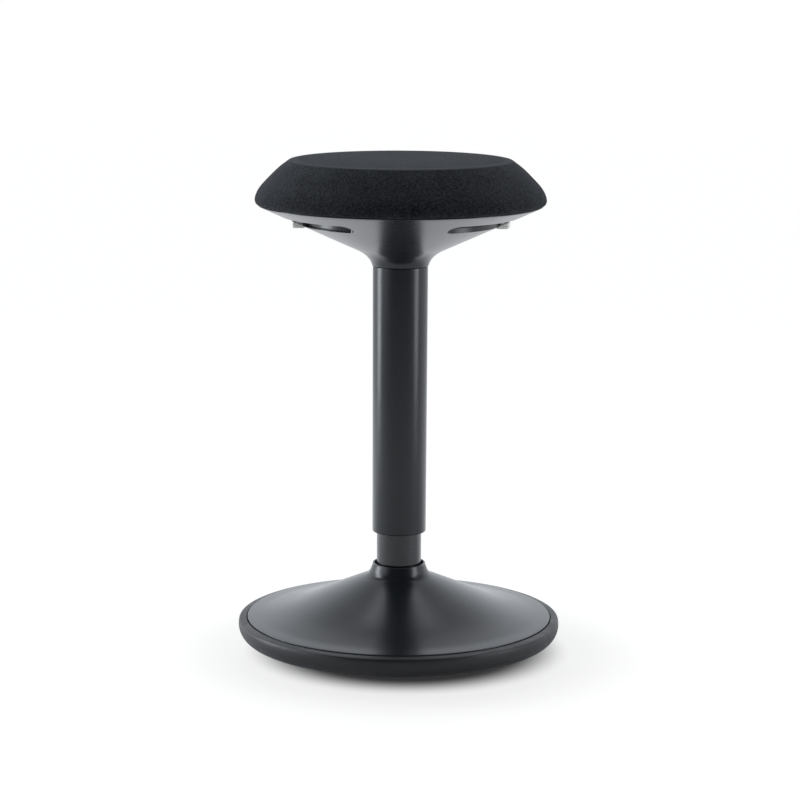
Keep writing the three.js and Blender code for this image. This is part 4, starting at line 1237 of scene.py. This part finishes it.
@dataclass
class Column:
    """Outer tube of the gas spring and the sleeve that slides over it."""

    tube_radius: float = 25.0
    tube_bore: float = 23.0
    tube_top: float = 397.98
    tube_foot: float = 27.88
    tube_floor: float = 30.88
    taper_top: float = 87.88
    taper: float = 1.2
    rod_hole: float = 5.0
    sleeve_radius: float = 30.0
    sleeve_flare: float = 0.5
    sleeve_bore: float = 27.8
    sleeve_foot: float = 146.98
    sleeve_top: float = 446.65
    lip_bore: float = 26.3
    lip: float = 1.8
    spigot_radius: float = 28.5
    spigot_bore: float = 26.5
    spigot_length: float = 10.0

    def tube(self) -> Piece:
        """Builds the outer tube with its tapered foot and open mouth.

        Returns:
            The tube.
        """
        corners = [
            Corner(self.rod_hole, self.tube_foot),
            Corner(self.tube_radius - self.taper, self.tube_foot, 1.0),
            Corner(self.tube_radius, self.taper_top), Corner(self.tube_radius, self.tube_top, 0.5),
            Corner(self.tube_bore, self.tube_top, 0.5), Corner(self.tube_bore, self.taper_top),
            Corner(self.tube_bore - self.taper, self.tube_floor, 1.0),
            Corner(self.rod_hole, self.tube_floor),
        ]
        piece = turned("tube", outline(corners), TUBE_SIDES)
        smooth(piece)
        return piece

    def sleeve(self) -> Piece:
        """Builds the sleeve with its rounded shoulder, lip and spigot with the snap bead.

        Returns:
            The sleeve.
        """
        top_radius = self.sleeve_radius + self.sleeve_flare
        spigot_top = self.sleeve_top + self.spigot_length
        bead = spigot_top - BEAD_DROP
        corners = [
            Corner(self.lip_bore, self.sleeve_foot, 0.4),
            Corner(self.sleeve_radius, self.sleeve_foot, 1.2),
            Corner(top_radius, self.sleeve_top, 1.1), Corner(self.spigot_radius, self.sleeve_top),
            Corner(self.spigot_radius, bead - BEAD_RAMP), Corner(self.spigot_radius + BEAD_RISE, bead),
            Corner(self.spigot_radius, bead), Corner(self.spigot_radius, spigot_top, 0.4),
            Corner(self.spigot_bore, spigot_top, 0.4), Corner(self.spigot_bore, self.sleeve_top),
            Corner(self.sleeve_bore, self.sleeve_top - self.lip),
            Corner(self.sleeve_bore, self.sleeve_foot + self.lip),
            Corner(self.lip_bore, self.sleeve_foot + self.lip),
        ]
        piece = turned("sleeve_tube", outline(corners), TUBE_SIDES)
        smooth(piece)
        return piece

    def build(self) -> list[Piece]:
        """Builds and dresses the column.

        Returns:
            Its new pieces.
        """
        return [
            seat_in_place(self.tube(), Body.BASE, Slot.BLACK_STEEL, "outer_tube"),
            seat_in_place(self.sleeve(), Body.SEAT, Slot.CHARCOAL_PLASTIC, "sleeve"),
        ]


@dataclass
class UnderShell:
    """Cone under the seat with a grip slot and its pocket on each side."""

    rim_radius: float = 157.0
    rim_top: float = 514.9
    rim_edge: float = 514.0
    slope: float = 0.4536  # rise of the cone for its run
    wall: float = 3.0
    cone_foot_radius: float = 50.0
    neck_radius: float = 31.2
    neck_end: float = 446.95
    neck_bore: float = 28.8
    neck_pull: float = 2.3
    neck_pull_drop: float = 7.5
    bore_length: float = 10.0
    slot_inner: float = 111.0
    slot_outer: float = 131.5
    slot_half_angle: float = math.radians(65.2)
    ledge_edge: float = 0.6  # skin left where the level ledge meets the slot
    ledge_overrun: float = 0.4
    pocket_radius: float = 105.5
    pocket_wall: float = 2.5
    pocket_half_angle: float = math.radians(70)
    shelf_top: float = 516.3
    shelf_bottom: float = 513.3
    shelf_step: float = 136.0
    notch_inner: float = 103.5
    notch_half: float = 27.5
    screw_angle: float = math.radians(42)
    screw_circle: float = 121.25
    screw_hole: float = 2.3
    rib_angles: Sequence[float] = (-14.0, 0.0, 14.0)
    rib_run: Point = (62.0, 128.0)
    rib_rise: float = 9.0
    rib_lift: float = 1.0  # how much higher its top stands over the cone
    rib_width: float = 2.2
    edge: float = 0.5  # rounding of its edges
    cone_rings: Sequence[float] = (150.0, 142.0, 135.0, 101.0, 92.0, 80.0, 65.0)  # of the mesh

    @property
    def rise(self) -> float:
        """Wall of the cone measured upright."""
        return self.wall * math.hypot(1, self.slope)

    @property
    def open_half_angle(self) -> float:
        """Half the angle between the pocket's end walls."""
        return self.pocket_half_angle - self.pocket_wall / self.slot_inner

    def cone(self, radius: float) -> float:
        """Level of the cone's outer face at a radius."""
        return self.rim_edge - (self.rim_radius - radius) * self.slope

    def fillet(self, radius: float, foot: float, end: float) -> list[Corner]:
        """Draws the curve from the cone into the neck.

        Args:
            radius: radius of the neck.
            foot: level where the cone ends.
            end: level where the neck's curve ends.

        Returns:
            Corners from the cone to the neck.
        """
        start = Vector((self.cone_foot_radius, foot))
        pull = Vector((radius + self.neck_pull, foot - self.neck_pull_drop))
        last = Vector((radius, end))
        steps = 14
        corners = []
        for step in range(steps + 1):
            t = step / steps
            here = start * (1 - t) ** 2 + pull * 2 * t * (1 - t) + last * t**2
            corners.append(Corner(here.x, here.y))
        return corners

    def skin(self) -> Piece:
        """Builds the turned wall of the shell.

        Returns:
            The wall, before anything is cut.
        """
        foot = self.cone(self.cone_foot_radius)
        bead = self.neck_end - FIT + self.bore_length - BEAD_DROP
        groove = self.neck_bore + BEAD_RISE
        land = self.rim_radius - (self.rise - (self.rim_top - self.rim_edge)) / self.slope
        rings = [Corner(radius, self.cone(radius)) for radius in self.cone_rings]
        outside = [*rings, *self.fillet(self.neck_radius, foot, self.neck_end)[:-1]]
        inside = self.fillet(self.neck_bore, foot + self.rise, self.neck_end + self.bore_length)
        corners = [
            Corner(self.rim_radius, self.rim_top, 0.3), Corner(self.rim_radius, self.rim_edge, 0.35),
            *outside, Corner(self.neck_radius, self.neck_end, 0.5),
            Corner(self.neck_bore, self.neck_end, 0.3), Corner(self.neck_bore, bead - BEAD_RAMP),
            Corner(groove, bead), Corner(groove, bead + FIT), Corner(self.neck_bore, bead + FIT),
            *reversed(inside), Corner(land, self.rim_top),
        ]
        return turned("shell", outline(corners))

    def pocket(self) -> Piece:
        """Builds wall, shelf and ends of the pocket on the +X side.

        Returns:
            The pocket.
        """
        inner = self.pocket_radius - self.pocket_wall
        middle = self.rise / 2
        shelf_outer = self.rim_radius - (middle - (self.rim_top - self.rim_edge)) / self.slope
        space_outer = self.rim_radius - (self.rim_edge + self.rise - self.shelf_bottom) / self.slope
        foot = self.cone(self.pocket_radius) - OVERRUN
        body = turned("pocket", [
            (inner, self.cone(inner) + middle), (shelf_outer, self.rim_top),
            (self.shelf_step, self.rim_top), (self.shelf_step, self.shelf_top), (inner, self.shelf_top),
        ])
        space = turned("space", [
            (self.pocket_radius, foot), (space_outer, foot), (space_outer, self.shelf_bottom),
            (self.pocket_radius, self.shelf_bottom),
        ])
        sector(body, self.pocket_half_angle)
        sector(space, self.open_half_angle)
        combine(body, [space], Merge.CUT)
        return body

    def ledge(self) -> Piece:
        """Builds the cutter that thins the skin inside the slot to a level ledge.

        Returns:
            The cutter.
        """
        beyond = self.slot_inner + self.ledge_overrun
        edge = self.cone(self.slot_inner) + self.ledge_edge
        start = self.pocket_radius + FIT
        tool = turned("ledge", [
            (start, self.cone(start) + self.rise + FIT / 2), (self.slot_inner, edge),
            (beyond, edge), (beyond, self.cone(beyond) + self.rise + OVERRUN),
        ])
        sector(tool, self.open_half_angle)
        return tool

    def slot_tool(self) -> Piece:
        """Builds the cutter of a grip slot on the +X side, its ends round.

        Returns:
            The cutter.
        """
        middle = (self.slot_inner + self.slot_outer) / 2
        round_end = (self.slot_outer - self.slot_inner) / 2
        half = self.slot_half_angle - round_end / middle
        low = self.cone(self.slot_inner) - OVERRUN
        high = self.cone(self.slot_outer) + self.rise + OVERRUN
        tool = turned("slot", [
            (self.slot_inner, low), (self.slot_outer, low), (self.slot_outer, high),
            (self.slot_inner, high),
        ])
        sector(tool, half)
        ends = []
        for side in (1, -1):
            x, y = middle * math.cos(half), side * middle * math.sin(half)
            ends.append(peg("slot_end", round_end, (x, y, low), (x, y, high), SLOT_SIDES))
        combine(tool, [gathered(ends)], Merge.JOIN)
        return tool

    def cutters(self) -> list[Piece]:
        """Builds everything that is cut out on the +X side.

        Returns:
            The cutters, in the order of the cuts.
        """
        notch_outer = math.sqrt(self.slot_outer**2 - self.notch_half**2) - FIT
        window_inner = math.sqrt((self.pocket_radius - self.pocket_wall) ** 2 - self.notch_half**2)
        top = self.shelf_top + OVERRUN
        notch = block("notch", (self.notch_inner, notch_outer), self.notch_half,
                      (self.cone(self.notch_inner) - OVERRUN, top))
        window = block("window", (window_inner - OVERRUN, self.notch_inner + OVERRUN), self.notch_half,
                       (self.cone(self.pocket_radius) + self.rise + FIT, top))
        low = self.shelf_bottom - OVERRUN
        holes = []
        for side in (1, -1):
            x = self.screw_circle * math.cos(self.screw_angle)
            y = side * self.screw_circle * math.sin(self.screw_angle)
            holes.append(peg("hole", self.screw_hole, (x, y, low), (x, y, top), HOLE_SIDES))
        return [gathered([self.slot_tool(), *holes]), self.ledge(), notch, window]

    def rib(self, angle: float) -> Piece:
        """Builds a stiffening rib on the inside of the cone.

        Args:
            angle: its place round the shell, in degrees.

        Returns:
            The rib.
        """
        foot = self.cone(self.rib_run[1])
        middle = sum(self.rib_run) / 2
        piece = block("rib", self.rib_run, self.rib_width / 2, (foot, foot + self.rib_rise))
        with editing(piece) as mesh:
            for vert in mesh.verts:
                is_low = vert.co.z < (foot + self.rib_rise / 2) * MM
                lift = self.cone(vert.co.x / MM) - foot
                vert.co.z += (lift + (self.rise / 2 if is_low else self.rib_lift)) * MM
                if not is_low:
                    vert.co.x += math.copysign(self.rib_rise, middle * MM - vert.co.x) * MM
        piece.data.transform(Matrix.Rotation(math.radians(angle), 4, "Z"))
        return piece

    def build(self) -> list[Piece]:
        """Builds and dresses the under shell.

        Returns:
            Its new piece.
        """
        piece = self.skin()
        right = self.pocket()
        ribs = [self.rib(side + turn) for side in (90, -90) for turn in self.rib_angles]
        combine(piece, [gathered([around(right, 2), *ribs])], Merge.JOIN)
        combine(piece, [around(tool, 2) for tool in self.cutters()], Merge.CUT)
        tidy(piece, CUT_WELD)
        edged(piece, self.edge)
        smooth(piece)
        return [seat_in_place(piece, Body.SEAT, Slot.CHARCOAL_PLASTIC, "under_shell")]


@dataclass
class ReleaseLevers:
    """The two linked levers under the seat, each with a finger paddle in its slot."""

    pivot: float = 28.0
    pivot_level: float = 500.0
    hub_radius: float = 6.0
    hub_half: float = 20.5
    bore: float = 3.4
    arm_half: float = 15.0
    plate: float = 3.0
    rib: float = 2.5
    rib_rise: float = 4.0
    paddle_inner: float = 105.0
    paddle_outer: float = 120.5
    paddle_half: float = 26.0
    paddle_low: float = 490.41
    paddle_high: float = 498.04
    paddle_round: float = 1.6
    paddle_edge: float = 0.6
    lip_top: float = 503.0
    lip: float = 3.0
    lip_inset: float = 0.05
    tongue_reach: float = 2.5
    tongue_half: float = 4.8
    tongue_levels: Point = (500.1, 503.1)
    loop_half: float = 8.2
    loop_levels: Point = (497.3, 505.9)
    window_half: float = 5.2
    window_levels: Point = (499.3, 503.9)
    window_depth: float = 6.0
    nub_levels: Point = (496.3, 499.1)
    nub_half_length: float = 1.5
    nub_half_width: float = 3.1
    edge: float = 0.35  # rounding of its edges
    edge_turn: float = 50.0  # least turn of a rounded edge, degrees

    def trimmed(self, piece: Piece, half: float) -> Piece:
        """Keeps the part of a turned piece on the +X side between two upright planes.

        Args:
            piece: closed mesh round the stool's axis.
            half: half the width that stays, in millimetres.

        Returns:
            The piece.
        """
        sliced(piece, (self.paddle_inner, 0, 0), (-1, 0, 0))
        sliced(piece, (0, half, 0), (0, 1, 0))
        sliced(piece, (0, -half, 0), (0, -1, 0))
        return piece

    def paddle(self) -> Piece:
        """Builds the paddle, a wedge in the line of the cone, with the lip that it hangs from.

        Returns:
            The paddle.
        """
        slope = UnderShell.slope
        start = self.paddle_outer - (self.paddle_high - self.paddle_low) / slope
        wedge = turned("paddle", outline([
            Corner(start, self.paddle_low),
            Corner(self.paddle_outer, self.paddle_low, self.paddle_round),
            Corner(self.paddle_outer, self.paddle_high, 0.5),
        ]))
        edged(self.trimmed(wedge, self.paddle_half), self.paddle_edge, self.edge_turn, 3)
        outer = self.paddle_outer - self.lip_inset
        foot = self.paddle_low + 2 * self.paddle_round
        lip = turned("lip", outline([
            Corner(outer - self.lip, foot), Corner(outer, foot), Corner(outer, self.lip_top, 0.8),
            Corner(outer - self.lip, self.lip_top, 0.8),
        ]))
        combine(wedge, [self.trimmed(lip, self.arm_half)], Merge.JOIN)
        return wedge

    def arm(self) -> Piece:
        """Builds the arm, a channel whose ribs come down to the lip.

        Returns:
            The arm.
        """
        low, high = self.pivot_level - self.plate / 2, self.pivot_level + self.plate / 2
        end = math.sqrt((self.paddle_outer - self.lip / 2) ** 2 - self.arm_half**2)
        top = high + self.rib_rise
        piece = block("arm", (self.pivot, end), self.arm_half, (low, top))
        sliced(piece, (end, 0, self.lip_top), (top - self.lip_top, 0, end - self.paddle_inner))
        groove = block("groove", (self.pivot - OVERRUN, end + OVERRUN), self.arm_half - self.rib,
                       (high, top + OVERRUN))
        combine(piece, [groove], Merge.CUT)
        return piece

    def body(self) -> Piece:
        """Builds hub, ribbed arm and paddle of a lever on the +X side.

        Returns:
            The lever without its inner end.
        """
        hub = peg("hub", self.hub_radius, (self.pivot, -self.hub_half, self.pivot_level),
                  (self.pivot, self.hub_half, self.pivot_level))
        combine(hub, [self.arm(), self.paddle()], Merge.JOIN)
        return hub

    def pin_bore(self) -> Piece:
        """Builds the cutter of the pin's bore."""
        start = (self.pivot, -self.hub_half - OVERRUN, self.pivot_level)
        return peg("bore", self.bore, start, (self.pivot, -start[1], self.pivot_level))

    def left(self) -> Piece:
        """Builds the lever with the tongue, turned to the -X side.

        Returns:
            The left lever.
        """
        piece = self.body()
        tongue = block("tongue", (-self.tongue_reach, self.pivot), self.tongue_half, self.tongue_levels)
        combine(piece, [tongue], Merge.JOIN)
        combine(piece, [self.pin_bore()], Merge.CUT)
        piece.data.transform(Matrix.Rotation(math.pi, 4, "Z"))
        return piece

    def right(self) -> Piece:
        """Builds the lever with the loop round the tongue and the nub over the valve.

        Returns:
            The right lever.
        """
        piece = self.body()
        loop = block("loop", (-self.tongue_reach, self.pivot), self.loop_half, self.loop_levels)
        nub = block("nub", (-self.nub_half_length, self.nub_half_length), self.nub_half_width,
                    self.nub_levels)
        window = block("window", (-self.tongue_reach - OVERRUN, self.window_depth), self.window_half,
                       self.window_levels)
        combine(piece, [loop, nub], Merge.JOIN)
        combine(piece, [window, self.pin_bore()], Merge.CUT)
        return piece

    def build(self) -> list[Piece]:
        """Builds and dresses both levers.

        Returns:
            Its new pieces.
        """
        pieces = []
        for piece, name, body, node in (
            (self.left(), "lever_left_body", Body.LEVER_LEFT, "release_lever_left"),
            (self.right(), "lever_right_body", Body.LEVER_RIGHT, "release_lever_right"),
        ):
            piece.name = name
            tidy(piece, CUT_WELD)
            edged(piece, self.edge, self.edge_turn)
            smooth(piece)
            pieces.append(seat_in_place(piece, body, Slot.LEVER_PLASTIC, node))
        return pieces


@dataclass
class Cushion:
    """Upholstered top: cloth drawn tight over foam, a crease round the crown, a turned-in hem."""

    CLOTH_MAP = "cloth"
    CLOTH = MappingProxyType({
        "quality": 6, "mass": 0.25, "tension_stiffness": 25, "compression_stiffness": 25,
        "shear_stiffness": 12, "bending_stiffness": 0.6, "air_damping": 4, "use_pressure": True,
    })

    top: float = 565.0
    crown: Sequence[Point] = (
        (80.0, 564.7), (110.0, 564.3), (117.5, 563.9), (121.2, 563.5), (122.9, 563.0), (124.2, 562.1),
        (126.4, 560.4), (130.0, 557.9), (135.0, 553.8), (145.0, 544.0), (155.0, 533.2), (158.6, 527.6),
        (160.4, 522.0), (160.6, 519.3), (159.9, 516.8), (158.4, 515.4),
    )
    hem_bottom: float = 515.2
    hem_top: float = 516.3
    hem_outer: float = 156.0
    hem_inner: float = 138.0
    board_side: float = 150.3
    board_top: float = 528.9
    sides: int = 144
    spacing: float = 4.5  # of the cloth mesh, mm
    crease: Point = (123.2, 562.8)
    crease_width: float = 5.0
    crease_grip: float = 0.9  # how firmly the crease is held
    margin: float = 0.1  # about the faces that are held, mm
    hem_margin: float = 1.0
    swell: float = 1.2  # most that the pressure may move a point, mm
    pressure: float = 1.5
    frames: int = 20

    def section(self) -> list[Point]:
        """Draws the cushion's section from the crown round the hem to the top of the board's space.

        Returns:
            Points about one mesh width apart.
        """
        fine = 6
        curve = flowing(self.crown, fine)
        points: list[Point] = []
        for span, (before, after) in enumerate(zip(self.crown, self.crown[1:])):
            steps = min(fine, max(1, round(math.dist(before, after) / self.spacing)))
            for step in range(steps):
                corner = curve[fine * span + round(fine * step / steps)]
                points.append((corner.radius, corner.level))
        turned_in = [
            self.crown[-1], (self.hem_outer, self.hem_bottom), (self.hem_inner, self.hem_bottom),
            (self.hem_inner, self.hem_top), (self.board_side, self.hem_top),
            (self.board_side, self.board_top), (self.crown[0][0], self.board_top),
        ]
        for before, after in zip(turned_in, turned_in[1:]):
            steps = max(1, round(math.dist(before, after) / self.spacing))
            for step in range(steps):
                share = step / steps
                points.append(tuple(a + (b - a) * share for a, b in zip(before, after)))
        return [*points, turned_in[-1]]

    def lay_cloth_map(self, piece: Piece, section: Sequence[Point]) -> None:
        """Maps the cloth by its run from the middle of the crown, in metres.

        Args:
            piece: turned cushion.
            section: the section it was turned from.
        """
        runs = [section[0][0]]
        nearest = KDTree(len(section))
        nearest.insert((*section[0], 0), 0)
        for index in range(1, len(section)):
            runs.append(runs[-1] + math.dist(section[index - 1], section[index]))
            nearest.insert((*section[index], 0), index)
        nearest.balance()
        layer = piece.data.uv_layers.new(name=self.CLOTH_MAP)
        places = []
        for vert in piece.data.vertices:
            radius = math.hypot(vert.co.x, vert.co.y) / MM
            share = 1.0
            if radius > self.crown[0][0] - self.spacing / 2:
                share = runs[nearest.find((radius, vert.co.z / MM, 0))[1]] / radius
            places.append((vert.co.x * share, vert.co.y * share))
        for loop in piece.data.loops:
            layer.data[loop.index].uv = places[loop.vertex_index]

    def patch(self, piece: Piece, level: float, rise: float) -> None:
        """Closes a round opening of the turned mesh with a grid of faces.

        Args:
            piece: turned cushion.
            level: level of the opening, in millimetres.
            rise: how far the middle stands above the opening, in millimetres.
        """
        with editing(piece) as mesh:
            for vert in mesh.verts:
                if vert.is_boundary and abs(vert.co.z / MM - level) < self.spacing / 2:
                    vert.select_set(True)
            mesh.select_flush(True)
            bpy.ops.mesh.fill_grid(span=self.sides // 4)
        for vert in piece.data.vertices:
            radius = math.hypot(vert.co.x, vert.co.y) / MM
            edge = self.crown[0][0]
            if radius < edge - self.margin and abs(vert.co.z / MM - level) < self.spacing / 2:
                vert.co.z = (level + rise * (1 - (radius / edge) ** 2)) * MM

    def held(self, place: Vector) -> float:
        """How firmly a point is held while the cloth is blown out.

        Args:
            place: point of the cloth, in metres.

        Returns:
            0 where it is free, 1 where it is fixed.
        """
        radius, level = math.hypot(place.x, place.y) / MM, place.z / MM
        inside = radius < self.board_side + self.margin and level < self.board_top + self.margin
        if level < self.hem_top + self.hem_margin or inside:
            return 1.0
        away = math.dist((radius, level), self.crease) / self.crease_width
        return self.crease_grip * math.exp(-away * away)

    def blow(self, piece: Piece) -> None:
        """Tightens the cloth over the foam by a short simulation and caps how far it moves.

        Args:
            piece: turned cushion.
        """
        rest = [vert.co.copy() for vert in piece.data.vertices]
        group = piece.vertex_groups.new(name="held")
        for vert in piece.data.vertices:
            group.add([vert.index], self.held(vert.co), "REPLACE")
        cloth = piece.modifiers.new("cloth", "CLOTH")
        for name, value in self.CLOTH.items():
            setattr(cloth.settings, name, value)
        cloth.settings.uniform_pressure_force = self.pressure
        cloth.settings.vertex_group_mass = group.name
        cloth.settings.effector_weights.gravity = 0
        cloth.point_cache.frame_start = 1
        cloth.point_cache.frame_end = self.frames
        for step in range(1, self.frames + 1):
            bpy.context.scene.frame_set(step)
        apply_all(piece)
        bpy.context.scene.frame_set(1)
        piece.vertex_groups.clear()
        limit = self.swell * MM
        for vert, start in zip(piece.data.vertices, rest):
            move = vert.co - start
            if move.length > limit:
                move = move.normalized() * limit
            vert.co = start + move

    def build(self) -> list[Piece]:
        """Builds and dresses the cushion.

        Returns:
            Its new piece.
        """
        section = self.section()
        piece = turned("cushion", section, self.sides, closed=False)
        self.patch(piece, section[0][1], self.top - section[0][1])
        self.patch(piece, self.board_top, 0.0)
        tidy(piece)
        self.lay_cloth_map(piece, section)
        self.blow(piece)
        finer = piece.modifiers.new("finer", "SUBSURF")
        finer.levels = 1
        finer.render_levels = 1
        apply_all(piece)
        pick(piece)
        bpy.ops.object.shade_smooth()
        return [seat_in_place(piece, Body.SEAT, Slot.SEAT_FABRIC, "seat_cover", "foam_pad")]


def dress_inner_nodes() -> None:
    """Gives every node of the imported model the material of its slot."""
    for subpart in frame["record"]["subparts"]:
        node = frame["nodes"][subpart["node"]]
        node.data.materials.clear()
        node.data.materials.append(finish(Slot(subpart["material_slot"])))


# Studio


@dataclass(frozen=True)
class Lamp:
    """A soft lamp: where it stands, what it faces and how large and strong it is."""

    name: str
    place: Place
    target: Place
    width: float
    height: float
    power: float
    tint: Colour = (0.94, 0.985, 1.05)

    def build(self) -> None:
        """Adds the lamp."""
        deselect()
        bpy.ops.object.light_add(type="AREA", location=self.place)
        lamp = bpy.context.view_layer.objects.active
        lamp.name = self.name
        lamp.data.shape = "RECTANGLE"
        lamp.data.size = self.width
        lamp.data.size_y = self.height
        lamp.data.energy = self.power
        lamp.data.color = self.tint
        aim = Vector(self.target) - Vector(self.place)
        lamp.rotation_euler = aim.to_track_quat("-Z", "Y").to_euler()


@dataclass
class Studio:
    """White floor and backdrop, soft lamps and the camera."""

    camera_place: Place = (0.0003, -2.802, 0.803)
    camera_pitch: float = 10.26
    camera_roll: float = 0.3
    lens: float = 115.0
    sensor: float = 36.0
    floor_size: float = 60.0
    floor_level: float = -0.0002
    floor_colour: Colour = (0.9, 0.9, 0.9)
    seen_colour: Colour = (0.1, 0.1, 0.1)  # share of the floor's real shade that the camera sees
    painted_shadow_centre: Point = (0.009, 0.036)  # middle of the shadow painted into the floor's glow, m
    painted_contact_shadow: Point = (0.128, 0.19)  # the painted contact shadow ends between these, m from its middle
    painted_shadow_glow: Point = (0.03, 0.83)  # the floor's glow in the painted shadow and beyond it
    painted_shadow_haze: Point = (0.18, 0.3)  # and the faint outer part of the painted shadow
    painted_haze_glow: float = 0.1
    back_glow: float = 0.5  # floor behind the stool, in reflections
    back_run: Point = (0.1, 0.4)  # it grows between these, m behind the middle
    dim: float = 0.035  # world in front and overhead
    left: float = 1.9  # world at the left
    left_span: Point = (-1.0, -0.6)  # parts of a direction between which each side fades
    right: float = 1.0  # world at the right
    right_span: Point = (0.6, 1.0)
    back: float = 1.2  # world behind the stool
    back_span: Point = (0.05, 0.6)
    high: float = 0.55  # share of these that is left overhead
    high_span: Point = (0.35, 0.8)

    def camera(self) -> None:
        """Adds the camera at the picture's angle."""
        deselect()
        bpy.ops.object.camera_add(location=self.camera_place)
        camera = bpy.context.view_layer.objects.active
        camera.name = "camera"
        camera.data.lens = self.lens
        camera.data.sensor_width = self.sensor
        camera.data.dof.use_dof = False
        tilt = Matrix.Rotation(math.radians(90 - self.camera_pitch), 4, "X")
        roll = Matrix.Rotation(math.radians(self.camera_roll), 4, "Z")
        camera.matrix_world = Matrix.Translation(self.camera_place) @ tilt @ roll
        bpy.context.scene.camera = camera

    def floor(self) -> None:
        """Adds the floor, which shows white, with a contact shadow painted into its glow and a little of
        its real shade.
        """
        deselect()
        bpy.ops.mesh.primitive_plane_add(size=self.floor_size, location=(0, 0, self.floor_level))
        floor = added("floor")
        surface = Surface("floor_white")
        board = surface.board
        sight = board.node("ShaderNodeLightPath")
        colour = board.tint(sight.outputs["Is Camera Ray"], self.floor_colour, self.seen_colour)
        surface.set(Base_Color=colour, Roughness=0.9, Specular_IOR_Level=0.1)
        place = board.parts(surface.place)[:2]
        away = (board.minus(axis, middle) for axis, middle in zip(place, self.painted_shadow_centre))
        radius = board.length(*away)
        # Painted shadow: the floor's glow drops near the stool, so a drawn contact shadow shows there.
        clear = board.plus(
            board.between(radius, *self.painted_contact_shadow, *self.painted_shadow_glow),
            board.between(radius, *self.painted_shadow_haze, 0.0, self.painted_haze_glow),
        )
        behind = board.between(place[1], *self.back_run, 0.0, self.back_glow)
        mirrored = board.times(behind, sight.outputs["Is Glossy Ray"])
        seen = board.calc("MULTIPLY_ADD", clear, sight.outputs["Is Camera Ray"], mirrored)
        surface.set(Emission_Color=(1, 1, 1, 1), Emission_Strength=seen)
        floor.data.materials.append(surface.material)

    def world(self) -> None:
        """Wires the world: white where it is seen, bright sides and back, dim front and top."""
        world = bpy.data.worlds.new("studio")
        bpy.context.scene.world = world
        world.use_nodes = True
        world.node_tree.nodes.clear()
        board = Board(world.node_tree)
        x, y, z = board.parts(board.node("ShaderNodeTexCoord").outputs["Generated"])
        left = board.between(x, *self.left_span, self.left, self.dim)
        right = board.between(x, *self.right_span, self.dim, self.right)
        back = board.between(y, *self.back_span, self.dim, self.back)
        level = board.calc("MAXIMUM", board.calc("MAXIMUM", left, right), back)
        strength = board.times(level, board.between(z, *self.high_span, 1.0, self.high))
        sight = board.node("ShaderNodeLightPath").outputs["Is Camera Ray"]
        light = board.node("ShaderNodeBackground", {"Color": (*Lamp.tint, 1), "Strength": strength})
        white = board.node("ShaderNodeBackground", {"Color": (1, 1, 1, 1)})
        mix = board.node("ShaderNodeMixShader", {0: sight, 1: light.outputs[0], 2: white.outputs[0]})
        board.node("ShaderNodeOutputWorld", {"Surface": mix.outputs[0]})

    def lamps(self) -> None:
        """Adds a tall strip on either side and a broad softbox overhead."""
        for lamp in (
            Lamp("strip_left", (-1.6, 0.2, 0.75), (0, 0, 0.3), 0.55, 1.5, 16),
            Lamp("strip_right", (1.6, -0.52, 0.75), (0, 0, 0.3), 0.5, 1.5, 9),
            Lamp("overhead", (0.0, 0.6, 2.4), (0, 0, 0.5), 1.2, 1.2, 16),
        ):
            lamp.build()

    def build(self) -> None:
        """Builds the whole studio."""
        self.floor()
        self.world()
        self.lamps()
        self.camera()
        bpy.context.scene.view_settings.view_transform = "Standard"


def main() -> None:
    """Builds the stool's assemblies in order, dresses them and sets up the studio."""
    logging.basicConfig(level=logging.INFO, format="%(name)s: %(message)s")
    dress_inner_nodes()
    for assembly in (Base(), Column(), UnderShell(), ReleaseLevers(), Cushion()):
        for piece in assembly.build():
            log.info("%s: %d faces", piece.name, len(piece.data.polygons))
    Studio().build()
    deselect()


if __name__ == "__main__":
    main()
